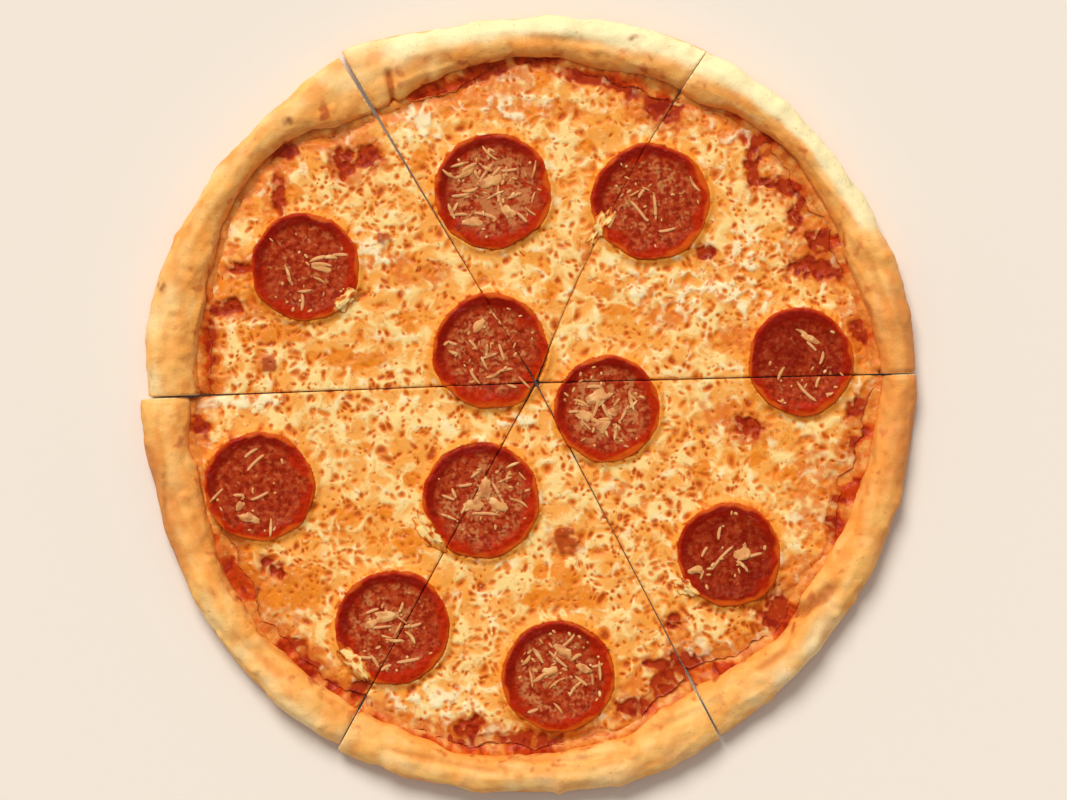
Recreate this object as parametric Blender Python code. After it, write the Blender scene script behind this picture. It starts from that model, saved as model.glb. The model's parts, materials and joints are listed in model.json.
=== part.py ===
"""A thin round pepperoni pizza, cut into six slices that still lie together.

Each slice is a dough base with a raised rim, a thin layer of tomato sauce and a blanket of melted
cheese. Eleven pepperoni discs lie on the cheese with shreds of hard cheese fused to them, and the cuts
run through six of them. The slices are numbered counter-clockwise from the cut along +X. Everything is
in metres, with +Z up and the origin under the middle of the pizza, on the surface it rests on.
"""

import math
import random
from typing import NamedTuple

import bmesh
import bpy
from mathutils import Matrix, Vector, geometry, noise

MM = 0.001

# Driving dimensions: the plan
CROSSING = Vector((2.6 * MM, 9.1 * MM))  # where the cuts meet, a little off the middle
CUT_LENGTH = 165 * MM
TIP_GAP = 0.4 * MM
TIP_RADIUS = 1.6 * MM

# Driving dimensions: the height of each layer above the surface the pizza rests on
BASE_TOP = 3.6 * MM
LAYER_GAP = 0.3 * MM
SAUCE_TOP = 4.7 * MM
CHEESE_TOP = 7.0 * MM
RIM_TOP = 12.8 * MM
RIM_SIDE = 4.6 * MM  # height at which the rim reaches furthest out

# Driving dimensions: the rim
RIM_FULLNESS = 0.68  # 1 is a round crest, and less is a flatter and fuller one
RIM_PRESSED = 0.16  # share of its height that the crest loses beside a cut
RIM_UNDERCUT = 2.4 * MM  # how far the bottom edge lies inside the widest line

# Driving dimensions: the toppings
SAUCE_TO_RIM = 0.4 * MM
CHEESE_TO_RIM = 1.6 * MM
CHEESE_EDGE_THICKNESS = 1.0 * MM
CHEESE_EDGE_SLOPE = 6 * MM  # how far in from its edge the cheese reaches its full height
CHEESE_LUMP = 0.9 * MM
SEAT_MARGIN = 5 * MM  # how far beyond a disc the cheese stays flat
SEAT_FADE = 4 * MM
PEPPERONI_THICKNESS = 1.6 * MM
PEPPERONI_LIP = 0.7 * MM
PEPPERONI_WAVE = 0.15 * MM
SHRED_BEND = 0.10 * MM  # the most that a shred bows, for each millimetre of its length
SHRED_WIDTH = 1.3 * MM
SHRED_HEIGHT = 0.9 * MM
SHRED_SINK = 0.3 * MM

# How finely the solids are faceted
RIM_STATIONS = 24
CHEESE_EDGE_STATIONS = 40
RIM_ARC_STEPS = 8
UNDER_ARC_STEPS = 3
SIDE_STEPS = 6
CHEESE_SPACING = 7.5 * MM
PEPPERONI_SIDES = 24
SMALLEST_PIECE = 20 * MM**3


class Cut(NamedTuple):
    """A knife cut from the crossing to the rim, as seen from above."""

    angle: float  # degrees counter-clockwise from +X
    bow: float  # how far its middle wanders counter-clockwise
    rim_gap: float  # how far it stands open at the rim


class Slice(NamedTuple):
    """Sizes at five even stations across a slice, counter-clockwise, in millimetres."""

    outer: tuple  # from the crossing to the outside of the rim
    rim: tuple  # width of the rim
    bare: tuple  # extra width of sauce that the cheese leaves bare


class Lobe(NamedTuple):
    """A place where the dough of a rim swells inwards over the sauce."""

    slice: int
    across: float  # its place across the slice, from 0 to 1
    width: float  # half its width, as a share of the slice
    reach: float


class Shred(NamedTuple):
    """A shred of hard cheese: its middle from the disc's middle, and its length, in millimetres."""

    x: float
    y: float
    turn: float  # degrees counter-clockwise from +X
    length: float


class Disc(NamedTuple):
    """A pepperoni disc: the middle and radius in millimetres, and the shreds that lie on it."""

    x: float
    y: float
    radius: float
    shreds: tuple


# The cut that begins each slice, counter-clockwise. Each slice ends at the next one.
CUTS = (
    Cut(1.4, 0, 0.6 * MM),
    Cut(61.8, 6.0 * MM, 0.6 * MM),
    Cut(120.8, 0, 2.4 * MM),
    Cut(182.2, 0, 1.8 * MM),
    Cut(241.5, 0, 1.1 * MM),
    Cut(297.5, 0, 1.6 * MM),
)

SLICES = (
    Slice((149.5, 149.5, 148, 148, 147.5), (13.5, 17.5, 14.5, 14, 19.5), (1, 0.5, 5, 2.5, 1)),
    Slice((148, 146, 144, 145.5, 152), (19, 19, 16, 19.5, 27), (5, 3.5, 0, 5, 1)),
    Slice((150.5, 149.5, 152, 155.5, 153), (27, 12.5, 13, 20.5, 20), (1, 1.5, 0, 2, 5)),
    Slice((156, 156.5, 159.5, 162.5, 162.5), (18, 18, 16.5, 14.5, 16.5), (3, 0, 6.5, 3.5, 4)),
    Slice((164.5, 163, 162, 162, 158.5), (19, 14.5, 16, 19, 23.5), (2, 3, 1.5, 0, 6)),
    Slice((157.5, 154, 152.5, 150.5, 150.5), (23, 15.5, 17.5, 16.5, 13.5), (7, 2.5, 0, 6.5, 2)),
)

LOBES = (
    Lobe(6, 0.38, 0.13, 4.5 * MM),
    Lobe(4, 0.75, 0.16, 3.0 * MM),
    Lobe(2, 0.92, 0.07, 2.5 * MM),
)

DISCS = (
    Disc(-14.4, 84.8, 22.9, (
        Shred(-8.7, 9.8, 23, 7), Shred(-1.3, 14.6, 85, 6), Shred(-3.0, 6.2, 55, 14),
        Shred(6.5, 8.3, 7, 8), Shred(-12.6, -1.2, 10, 10), Shred(3.3, -2.4, -81, 12),
        Shred(8.2, -1.5, 25, 7), Shred(-12.6, -9.7, 3, 7), Shred(-3.0, -10.2, -15, 12),
        Shred(11.4, -10.6, -43, 7),
    )),
    Disc(47.9, 80.5, 23.3, (
        Shred(-4.8, -3.9, -51, 14), Shred(1.4, -1.8, -85, 14), Shred(6.4, -10.8, 11, 9),
        Shred(-3.5, 3.3, 55, 6), Shred(-15.6, -7.0, 65, 10),
    )),
    Disc(-88.2, 54.5, 21.5, (
        Shred(6.2, 0.6, -5, 11), Shred(13.6, 5.0, 0, 8), Shred(-1.7, -13.6, 88, 9),
        Shred(-6.0, -5.3, -60, 5),
    )),
    Disc(-15.2, 21.3, 22.8, (
        Shred(2.3, 13.8, -45, 6), Shred(-3.5, 11.5, 80, 5), Shred(-15.0, 3.8, -20, 5),
        Shred(-7.1, 2.7, -50, 7), Shred(-0.6, -1.8, 20, 8), Shred(4.2, 0.0, -72, 9),
        Shred(5.5, -7.9, 15, 9), Shred(8.1, -13.2, -20, 6),
    )),
    Disc(30.6, -0.8, 21.0, (
        Shred(-5.0, 7.9, 0, 8), Shred(-2.8, 3.2, 10, 10), Shred(0.5, -1.0, -60, 9),
        Shred(-12.8, -1.8, 0, 6), Shred(-9.5, -4.6, 90, 7), Shred(7.1, -1.8, 62, 9),
        Shred(-5.2, -8.0, 70, 5), Shred(3.2, -9.0, 85, 8),
    )),
    Disc(107.1, 17.4, 21.3, (
        Shred(4.1, 6.2, -45, 7), Shred(7.8, 1.6, 75, 7), Shred(2.5, -11.4, -45, 14),
        Shred(6.8, -8.0, 70, 6), Shred(11.6, -12.6, 0, 5), Shred(-7.6, -15.6, -15, 5),
    )),
    Disc(-106.3, -31.9, 21.9, (
        Shred(0.0, -3.4, 25, 10), Shred(-1.4, 9.4, 44, 12), Shred(-3.2, 13.2, 35, 8),
        Shred(-8.4, -3.3, 0, 5), Shred(-6.0, -12.0, -10, 7),
    )),
    Disc(-18.9, -37.2, 23.2, (
        Shred(-1.4, 3.0, 57, 13), Shred(6.6, 2.6, -62, 13), Shred(1.5, -5.6, -2, 14),
        Shred(-2.1, 10.7, 40, 7), Shred(-13.0, 1.2, -20, 7), Shred(-6.3, 6.2, 10, 7),
        Shred(10.7, 9.4, 70, 6),
    )),
    Disc(-53.9, -87.2, 22.6, (
        Shred(-7.9, 6.3, 20, 7), Shred(-4.2, 0.2, 5, 10), Shred(-1.6, 5.3, -55, 6),
        Shred(7.7, 1.2, 12, 10), Shred(3.2, 7.8, 70, 6), Shred(6.1, -13.0, 10, 12),
        Shred(-2.3, -16.0, 30, 6), Shred(-10.4, -11.4, -3, 9),
    )),
    Disc(11.4, -106.7, 22.1, (
        Shred(0.0, 7.0, -42, 13), Shred(9.0, -1.6, -38, 8), Shred(3.7, 14.6, 44, 9),
        Shred(15.2, 4.8, 15, 6), Shred(-3.8, 0.7, 30, 6), Shred(-10.0, -13.4, 20, 6),
    )),
    Disc(78.7, -58.6, 20.5, (
        Shred(-2.4, -1.6, 48, 17), Shred(8.4, -1.0, 18, 13), Shred(-13.0, -6.8, -20, 6),
        Shred(-9.5, 1.0, 60, 6), Shred(-3.6, 8.5, 80, 7), Shred(5.4, -5.0, -45, 7),
    )),
)


def make_material(name, colour, roughness):
    material = bpy.data.materials.new(name)
    material.use_nodes = True
    shader = material.node_tree.nodes["Principled BSDF"]
    shader.inputs["Base Color"].default_value = (*colour, 1)
    shader.inputs["Roughness"].default_value = roughness
    shader.inputs["Metallic"].default_value = 0
    return material


def object_from(form, name, material):
    """Makes the named object from a bmesh, with its faces pointing outwards."""
    bmesh.ops.recalc_face_normals(form, faces=form.faces)
    mesh = bpy.data.meshes.new(name)
    form.to_mesh(mesh)
    form.free()
    mesh.materials.append(material)
    made = bpy.data.objects.new(name, mesh)
    bpy.context.scene.collection.objects.link(made)
    return made


def between(low, high, share):
    return low + (high - low) * share


def smooth_step(share):
    share = min(max(share, 0), 1)
    return share * share * (3 - 2 * share)


def read_stations(values, share):
    """Reads evenly spaced values at a share from 0 to 1, on a Catmull-Rom curve through them."""
    last = len(values) - 1
    start = min(int(share * last), last - 1)
    before, here = values[max(start - 1, 0)], values[start]
    there, after = values[start + 1], values[min(start + 2, last)]
    u = share * last - start
    cubic = 3 * (here - there) + after - before
    square = 2 * before - 5 * here + 4 * there - after
    return here + 0.5 * u * (there - before + u * (square + u * cubic))


def unevenness(point, wavelength, layer):
    """A smooth random number from about -1 to 1. Each layer has its own pattern."""
    return noise.noise(Vector((point.x / wavelength, point.y / wavelength, 7.3 * layer)))


def cut_offset(cut, radius):
    """How far the middle of a cut lies counter-clockwise of its straight line."""
    share = radius / CUT_LENGTH
    return cut.bow * 4 * share * (1 - share)


def half_gap(cut, radius):
    return between(TIP_GAP, cut.rim_gap, radius / CUT_LENGTH) / 2


def edge_angle(cut, radius, side):
    """Direction from the crossing to a slice's edge. The side is 1 counter-clockwise of the cut."""
    sideways = cut_offset(cut, radius) + side * half_gap(cut, radius)
    return math.radians(cut.angle) + math.asin(sideways / radius)


def plan_point(number, radius, across):
    """A point of a slice seen from above, across it from 0 to 1 counter-clockwise."""
    start, end = CUTS[number - 1], CUTS[number % len(CUTS)]
    first = edge_angle(start, radius, 1)
    last = edge_angle(end, radius, -1) + (math.tau if number == len(CUTS) else 0)
    angle = between(first, last, across)
    return CROSSING + radius * Vector((math.cos(angle), math.sin(angle)))


def rim_outer(number, across):
    radius = read_stations(SLICES[number - 1].outer, across) * MM
    return radius + 0.7 * MM * unevenness(plan_point(number, radius, across), 17 * MM, 1)


def rim_inner(number, across):
    width = read_stations(SLICES[number - 1].rim, across) * MM
    radius = rim_outer(number, across) - width
    for lobe in LOBES:
        if lobe.slice == number:
            radius -= lobe.reach * smooth_step(1 - abs(across - lobe.across) / lobe.width)
    return radius + 1.8 * MM * unevenness(plan_point(number, radius, across), 13 * MM, 2)


def rim_height(number, across):
    """The crest is highest in the middle of a slice, and pressed down where the knife went through."""
    pressed = RIM_PRESSED * abs(2 * across - 1) ** 5
    point = plan_point(number, rim_outer(number, across), across)
    wavy = 0.16 * unevenness(point, 26 * MM, 3) + 0.12 * unevenness(point, 13 * MM, 4)
    return (RIM_TOP - BASE_TOP) * (1 - pressed + wavy)


def rim_section(number, across):
    """Radius and height round the rim: from its inner foot over the crest to its bottom edge."""
    inner, outer = rim_inner(number, across), rim_outer(number, across)
    crest = rim_height(number, across)
    section = []
    for step in range(RIM_ARC_STEPS + 1):
        turn = math.pi * step / RIM_ARC_STEPS
        share = (1 - math.cos(turn)) / 2
        foot = between(BASE_TOP, RIM_SIDE, share)
        height = foot + crest * max(math.sin(turn), 0) ** RIM_FULLNESS
        section.append((between(inner, outer, share), height))
    for step in range(1, UNDER_ARC_STEPS + 1):
        turn = 0.5 * math.pi * step / UNDER_ARC_STEPS
        radius = outer - RIM_UNDERCUT * (1 - math.cos(turn))
        section.append((radius, RIM_SIDE * (1 - math.sin(turn))))
    return section


def slice_side(number, across, reach):
    """Plan points along one cut edge of a slice, from near the tip out to a radius, without its end."""
    radii = [between(TIP_RADIUS, reach, step / SIDE_STEPS) for step in range(SIDE_STEPS)]
    return [plan_point(number, radius, across) for radius in radii]


def make_crust(number, material):
    """The dough of one slice: a flat base with a raised rim at its outer end."""
    form = bmesh.new()
    rows = []
    for station in range(RIM_STATIONS + 1):
        across = station / RIM_STATIONS
        row = [form.verts.new((*plan_point(number, r, across), z)) for r, z in rim_section(number, across)]
        rows.append(row)
    for row, following in zip(rows, rows[1:]):
        for i in range(len(row) - 1):
            form.faces.new((row[i], row[i + 1], following[i + 1], following[i]))
    edges = {}
    for across in (0, 1):
        reach = rim_inner(number, across)
        points = slice_side(number, across, reach)
        tops = [form.verts.new((*point, BASE_TOP)) for point in points]
        bottoms = [form.verts.new((*point, 0)) for point in points]
        rim_foot = form.verts.new((*plan_point(number, reach, across), 0))
        edge_row = rows[across * RIM_STATIONS]
        form.faces.new((*edge_row, rim_foot))
        tops.append(edge_row[0])
        bottoms.append(rim_foot)
        for i in range(SIDE_STEPS):
            form.faces.new((tops[i], tops[i + 1], bottoms[i + 1], bottoms[i]))
        edges[across] = (tops, bottoms)
    form.faces.new((edges[0][0][0], edges[1][0][0], edges[1][1][0], edges[0][1][0]))
    feet = [row[0] for row in rows[1:-1]]
    form.faces.new((*edges[0][0], *feet, *reversed(edges[1][0])))
    bottom_edge = [row[-1] for row in rows]
    form.faces.new((*edges[0][1], *bottom_edge, *reversed(edges[1][1])))
    bmesh.ops.triangulate(form, faces=[face for face in form.faces if len(face.verts) > 4])
    made = object_from(form, f"crust_{number}", material)
    made.data.shade_smooth()
    made.data.set_sharp_from_angle(angle=math.radians(50))
    return made


def layer_outline(number, edge_radius, stations):
    """Plan outline of a layer that fills a slice out to a radius given by its place across."""
    outline = slice_side(number, 0, edge_radius(0))
    for station in range(stations + 1):
        across = station / stations
        outline.append(plan_point(number, edge_radius(across), across))
    return outline + slice_side(number, 1, edge_radius(1))[::-1]


def fill_slab(outline, inner_points, top, bottom):
    """A closed slab with a flat underside, whose top passes through the outline and the inner points."""
    count = len(outline)
    points, _, faces, *_ = geometry.delaunay_2d_cdt(
        outline + inner_points, [], [list(range(count))], 1, 1e-7
    )
    form = bmesh.new()
    verts = [form.verts.new((*point, top(point))) for point in points]
    for face in faces:
        form.faces.new([verts[i] for i in face])
    bmesh.ops.delete(form, geom=[v for v in form.verts if not v.link_faces], context="VERTS")
    border = [edge for edge in form.edges if edge.is_boundary]
    lowered = bmesh.ops.extrude_edge_only(form, edges=border)["geom"]
    for vert in (item for item in lowered if isinstance(item, bmesh.types.BMVert)):
        vert.co.z = bottom
    bmesh.ops.holes_fill(form, edges=[edge for edge in form.edges if edge.is_boundary], sides=0)
    bmesh.ops.triangulate(form, faces=[face for face in form.faces if len(face.verts) > 4])
    return form


def make_sauce(number, material):
    """A thin flat layer of tomato sauce that fills the slice up to the foot of the rim."""
    outline = layer_outline(number, lambda across: rim_inner(number, across) - SAUCE_TO_RIM, RIM_STATIONS)
    form = fill_slab(outline, [], lambda point: SAUCE_TOP, BASE_TOP + LAYER_GAP)
    return object_from(form, f"sauce_{number}", material)


def cheese_reach(number, across):
    """Radius of the ragged outer edge of the cheese, which stops short of the rim."""
    bare = CHEESE_TO_RIM + read_stations(SLICES[number - 1].bare, across) * MM
    radius = rim_inner(number, across) - bare
    point = plan_point(number, radius, across)
    return min(radius + 3.2 * MM * unevenness(point, 8 * MM, 5), rim_inner(number, across) - 1.0 * MM)


def seat_share(point):
    """1 where a pepperoni disc presses the cheese flat, falling to 0 a little outside it."""
    clear = min((point - Vector((d.x, d.y)) * MM).length - d.radius * MM for d in DISCS)
    return smooth_step((SEAT_MARGIN + SEAT_FADE - clear) / SEAT_FADE)


def cheese_height(number, point):
    """Height of the melted cheese: lumpy, flat under the discs and thin at its outer edge."""
    lumps = CHEESE_LUMP * (unevenness(point, 13 * MM, 6) + 0.6 * unevenness(point, 7 * MM, 7))
    height = CHEESE_TOP + lumps * (1 - seat_share(point))
    offset = point - CROSSING
    turned = math.degrees(math.atan2(offset.y, offset.x)) % 360
    start, end = CUTS[number - 1].angle, CUTS[number % len(CUTS)].angle
    across = ((turned - start) % 360) / ((end - start) % 360)
    inside = cheese_reach(number, min(max(across, 0), 1)) - offset.length if across < 1.5 else 1
    edge = SAUCE_TOP + LAYER_GAP + CHEESE_EDGE_THICKNESS
    return between(edge, height, smooth_step(inside / CHEESE_EDGE_SLOPE))


def scattered_points(outline, spacing, margin, seed):
    """Points on a jittered triangular grid, inside the outline by a margin."""
    draw = random.Random(seed)
    loop = list(zip(outline, outline[1:] + outline[:1]))
    low = Vector((min(p.x for p in outline), min(p.y for p in outline)))
    high = Vector((max(p.x for p in outline), max(p.y for p in outline)))
    found = []
    row_height = spacing * math.sqrt(3) / 2
    for row in range(int((high.y - low.y) / row_height) + 1):
        for column in range(int((high.x - low.x) / spacing) + 2):
            jitter = Vector((draw.uniform(-0.18, 0.18), draw.uniform(-0.18, 0.18))) * spacing
            point = low + Vector(((column + 0.5 * (row % 2)) * spacing, row * row_height)) + jitter
            crossings = sum(
                (a.y > point.y) != (b.y > point.y)
                and point.x < between(a.x, b.x, (point.y - a.y) / (b.y - a.y))
                for a, b in loop
            )
            if crossings % 2 == 0:
                continue
            nearest = min(
                (geometry.intersect_point_line(point, a, b)[0].to_2d() - point).length
                if 0 <= geometry.intersect_point_line(point, a, b)[1] <= 1
                else (a - point).length
                for a, b in loop
            )
            if nearest > margin:
                found.append(point)
    return found


def make_cheese(number, material):
    """The melted cheese of one slice, with a lumpy top and a ragged outer edge."""
    outline = layer_outline(number, lambda across: cheese_reach(number, across), CHEESE_EDGE_STATIONS)
    inner = scattered_points(outline, CHEESE_SPACING, 0.5 * CHEESE_SPACING, seed=number)
    form = fill_slab(outline, inner, lambda point: cheese_height(number, point), SAUCE_TOP + LAYER_GAP)
    made = object_from(form, f"cheese_{number}", material)
    made.data.shade_smooth()
    made.data.set_sharp_from_angle(angle=math.radians(50))
    return made


def disc_form(disc, draw):
    """A pepperoni disc: slightly out of round, with a raised lip and a flat underside."""
    lobes = [(n, draw.uniform(0, 0.022) / n, draw.uniform(0, math.tau)) for n in (2, 3, 4)]
    # Each ring is a share of the radius, and a share of the lip's height, or -1 for the underside.
    profile = ((0.0, 0.0), (0.55, 0.05), (0.86, 0.15), (0.95, 1.0), (1.0, 0.45), (0.99, -1))
    form = bmesh.new()
    rings = []
    for share, lift in profile:
        ring = []
        height = PEPPERONI_THICKNESS + lift * PEPPERONI_LIP if lift >= 0 else 0
        for side in range(PEPPERONI_SIDES if share else 1):
            turn = math.tau * side / PEPPERONI_SIDES
            lobe = 1 + sum(size * math.cos(n * turn + phase) for n, size, phase in lobes)
            reach = disc.radius * MM * share * lobe
            wavy = PEPPERONI_WAVE * draw.uniform(-1, 1) if 0 < share < 0.9 else 0
            place = (reach * math.cos(turn), reach * math.sin(turn), height + wavy)
            ring.append(form.verts.new(place))
        rings.append(ring)
    middle, *rings = rings
    for i in range(PEPPERONI_SIDES):
        form.faces.new((middle[0], rings[0][i], rings[0][(i + 1) % PEPPERONI_SIDES]))
        for low, high in zip(rings, rings[1:]):
            following = (i + 1) % PEPPERONI_SIDES
            form.faces.new((low[i], high[i], high[following], low[following]))
    form.faces.new(rings[-1])
    return form


def shred_form(length, bend):
    """A grated shred: a square strip, gently bent, lying along X and tapered at both ends."""
    form = bmesh.new()
    rings = []
    for station in range(5):
        share = station / 4 * 2 - 1
        taper = 1 - 0.55 * share**4
        middle = Vector((length / 2 * share, bend * (1 - share * share), 0))
        half = SHRED_WIDTH / 2 * taper
        top = SHRED_HEIGHT * taper
        corners = ((-half, 0), (half, 0), (half * 0.7, top), (-half * 0.7, top))
        rings.append([form.verts.new(middle + Vector((0, y, z))) for y, z in corners])
    for ring, following in zip(rings, rings[1:]):
        for i in range(4):
            form.faces.new((ring[i], ring[(i + 1) % 4], following[(i + 1) % 4], following[i]))
    form.faces.new(rings[0])
    form.faces.new(rings[-1])
    bmesh.ops.recalc_face_normals(form, faces=form.faces)
    return form


def fuse(base, parts):
    """Joins the parts to the base with one Boolean union, and removes them."""
    group = bpy.data.collections.new("parts to fuse")
    bpy.context.scene.collection.children.link(group)
    for part in parts:
        bpy.context.scene.collection.objects.unlink(part)
        group.objects.link(part)
    union = base.modifiers.new("union", "BOOLEAN")
    union.operation = "UNION"
    union.operand_type = "COLLECTION"
    union.collection = group
    union.solver = "EXACT"
    graph = bpy.context.evaluated_depsgraph_get()
    joined = bpy.data.meshes.new_from_object(base.evaluated_get(graph))
    base.modifiers.clear()
    base.data = joined
    for part in list(group.objects):
        bpy.data.objects.remove(part)
    bpy.data.collections.remove(group)


def dressed_disc(disc, number, material):
    """A whole pepperoni disc with its shreds, in place on the cheese."""
    draw = random.Random(40 + number)
    whole = object_from(disc_form(disc, draw), f"whole disc {number}", material)
    parts = []
    for shred in disc.shreds:
        bend = SHRED_BEND * shred.length * draw.uniform(-1, 1)
        part = object_from(shred_form(shred.length * MM, bend), "shred", material)
        place = Vector((shred.x * MM, shred.y * MM, PEPPERONI_THICKNESS - SHRED_SINK))
        turn = Matrix.Rotation(math.radians(shred.turn), 4, "Z")
        part.data.transform(Matrix.Translation(place) @ turn)
        parts.append(part)
    fuse(whole, parts)
    whole.data.transform(Matrix.Translation((disc.x * MM, disc.y * MM, CHEESE_TOP + LAYER_GAP)))
    return whole


def cut_line(cut, near):
    """The point of a cut beside a place, and the direction counter-clockwise across it there."""
    along = Vector((math.cos(math.radians(cut.angle)), math.sin(math.radians(cut.angle))))
    across = Vector((-along.y, along.x))
    reach = max((near - CROSSING).dot(along), TIP_RADIUS)
    share = reach / CUT_LENGTH
    point = CROSSING + reach * along + cut_offset(cut, reach) * across
    slope = cut.bow * 4 * (1 - 2 * share) / CUT_LENGTH
    return point, (across - slope * along).normalized(), half_gap(cut, reach)


def keep_beyond(form, cut, near, side):
    """Cuts a form along a cut and keeps what lies on one side of it, closed where it was cut."""
    point, across, gap = cut_line(cut, near)
    outwards = across * side
    result = bmesh.ops.bisect_plane(
        form,
        geom=form.verts[:] + form.edges[:] + form.faces[:],
        plane_co=(*(point + outwards * gap), 0),
        plane_no=(*(-outwards), 0),
        clear_outer=True,
        dist=1e-6,
    )
    rim = [item for item in result["geom_cut"] if isinstance(item, bmesh.types.BMEdge)]
    bmesh.ops.holes_fill(form, edges=[edge for edge in rim if edge.is_boundary], sides=0)
    bmesh.ops.triangulate(form, faces=[face for face in form.faces if len(face.verts) > 4])


def make_pepperoni(disc, number, material):
    """The pieces of one pepperoni disc: one for each slice that it lies on."""
    whole = dressed_disc(disc, number, material)
    near = Vector((disc.x, disc.y)) * MM
    for slice_number in range(1, len(CUTS) + 1):
        offset = near - CROSSING
        turned = math.degrees(math.atan2(offset.y, offset.x))
        start, end = CUTS[slice_number - 1], CUTS[slice_number % len(CUTS)]
        middle = start.angle + ((end.angle - start.angle) % 360) / 2
        if abs((turned - middle + 180) % 360 - 180) > 90:
            continue
        form = bmesh.new()
        form.from_mesh(whole.data)
        keep_beyond(form, start, near, 1)
        keep_beyond(form, end, near, -1)
        if form.faces and abs(form.calc_volume()) > SMALLEST_PIECE:
            piece = object_from(form, f"pepperoni_{number}_on_slice_{slice_number}", material)
            piece.data.shade_smooth()
            piece.data.set_sharp_from_angle(angle=math.radians(40))
        else:
            form.free()
    bpy.data.objects.remove(whole)


def centre_in_plan():
    """Moves everything together so that the middle of its outline stands over the origin."""
    corners = [vert.co for made in bpy.data.objects for vert in made.data.vertices]
    middle = [(min(c[i] for c in corners) + max(c[i] for c in corners)) / 2 for i in (0, 1)]
    for made in bpy.data.objects:
        made.data.transform(Matrix.Translation((-middle[0], -middle[1], 0)))


def main():
    for old in list(bpy.data.objects):
        bpy.data.objects.remove(old)
    dough = make_material("baked dough", (0.80, 0.47, 0.17), 0.75)
    tomato = make_material("tomato sauce", (0.52, 0.06, 0.01), 0.35)
    mozzarella = make_material("melted cheese", (0.91, 0.60, 0.22), 0.40)
    sausage = make_material("pepperoni", (0.42, 0.05, 0.02), 0.35)
    for number in range(1, len(SLICES) + 1):
        make_crust(number, dough)
        make_sauce(number, tomato)
        make_cheese(number, mozzarella)
    for number, disc in enumerate(DISCS, start=1):
        make_pepperoni(disc, number, sausage)
    centre_in_plan()


main()
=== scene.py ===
import json
import math

import bpy
import numpy as np
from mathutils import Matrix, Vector, kdtree

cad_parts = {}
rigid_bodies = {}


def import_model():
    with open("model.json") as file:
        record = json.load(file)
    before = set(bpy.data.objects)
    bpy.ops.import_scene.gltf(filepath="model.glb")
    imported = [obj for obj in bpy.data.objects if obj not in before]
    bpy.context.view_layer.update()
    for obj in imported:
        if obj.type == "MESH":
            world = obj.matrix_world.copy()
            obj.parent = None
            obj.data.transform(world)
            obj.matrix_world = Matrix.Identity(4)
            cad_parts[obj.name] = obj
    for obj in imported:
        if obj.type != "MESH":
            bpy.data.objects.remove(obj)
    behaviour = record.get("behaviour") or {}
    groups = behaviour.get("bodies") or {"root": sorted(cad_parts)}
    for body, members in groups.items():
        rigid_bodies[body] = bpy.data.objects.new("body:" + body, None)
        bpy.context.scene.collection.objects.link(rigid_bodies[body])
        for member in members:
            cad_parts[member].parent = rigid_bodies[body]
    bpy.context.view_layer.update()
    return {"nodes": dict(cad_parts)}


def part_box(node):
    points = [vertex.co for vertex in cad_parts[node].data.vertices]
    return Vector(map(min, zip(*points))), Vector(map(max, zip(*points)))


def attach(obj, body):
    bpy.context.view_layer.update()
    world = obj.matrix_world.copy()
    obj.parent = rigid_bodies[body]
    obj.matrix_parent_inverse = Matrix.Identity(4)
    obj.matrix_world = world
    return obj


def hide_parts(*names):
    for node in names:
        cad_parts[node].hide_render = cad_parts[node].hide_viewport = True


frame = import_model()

MM = 0.001
SLICES = range(1, 7)

# The crusts
# Yeast dough stretched by hand into a thin base with a rim, which rose and browned on hot stone. The rim is
# golden, paler on its crest, orange where sauce boiled onto its foot, and it was cut with the pizza. Its
# colours also hold painted light: the pale crest toward the lamp is partly painted highlight, and the
# orange inner side is partly painted bounce light. Its right side, its folds, two hollows and the crevice
# at its foot carry painted shade.

# Where the cuts cross, how far the bow of a cut runs, and the gap that the blade left where they cross
CROSSING = (2.9 * MM, 8.8 * MM)
CUT_LENGTH = 165 * MM
TIP_GAP = 0.4 * MM

# Direction of each cut in degrees, how far it bows, how far the blade opened it at the rim, and the gap
# that the toppings and the dough leave now at the crossing and at the rim
CUTS = (
    (1.4, 0, 0.6 * MM, 0.3 * MM, 0.5 * MM),
    (61.8, 6.0 * MM, 0.6 * MM, 0.1 * MM, 0.2 * MM),
    (120.8, 0, 2.4 * MM, 0.15 * MM, 2.4 * MM),
    (182.2, 0, 1.8 * MM, 0.3 * MM, 0.9 * MM),
    (241.5, 0, 1.1 * MM, 0.25 * MM, 0.5 * MM),
    (297.5, 0, 1.6 * MM, 0.3 * MM, 0.8 * MM),
)
CRUST_GRAIN = 0.7 * MM
BASE_TOP = 3.6 * MM
RIM_RADIUS = 150 * MM
RIM_STRETCHED = 4  # how many times longer the streaks run along the rim than across it
CRUST_KEPT = 0.04  # share of the small faces that stay on a flat side of the crust
BORDER_ROWS = 4

# Folds in the rim: both ends in plan, half the width, and the depth, in millimetres. Their hollows are also
# darkened in colour: painted shade.
FOLDS = (
    (-55.6, 133.0, -52.5, 116.0, 1.5, 2.6),
    (-52.5, 116.0, -48.0, 109.0, 2.0, 1.6),
    (102.0, -84.0, 123.0, -69.0, 3.6, 3.0),
    (88.0, -106.0, 104.0, -94.0, 2.4, 1.4),
    (-140.5, -30.0, -134.0, -55.0, 1.6, 0.8),
    (-60.0, -134.5, -22.0, -143.0, 1.6, 1.0),
    (-20.0, -139.0, 34.0, -138.5, 1.8, 1.1),
    (42.0, -130.0, 66.0, -121.0, 1.8, 0.9),
    (-118.0, -88.0, -96.0, -109.0, 1.6, 0.8),
    (122.0, 72.0, 136.0, 44.0, 2.0, 0.7),
    (-10.0, 146.0, 40.0, 141.0, 2.2, 0.7),
    (-36.0, -139.5, -8.0, -145.0, 1.8, 1.2),
    (134.0, 62.0, 141.0, 34.0, 2.4, 0.9),
)
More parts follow.
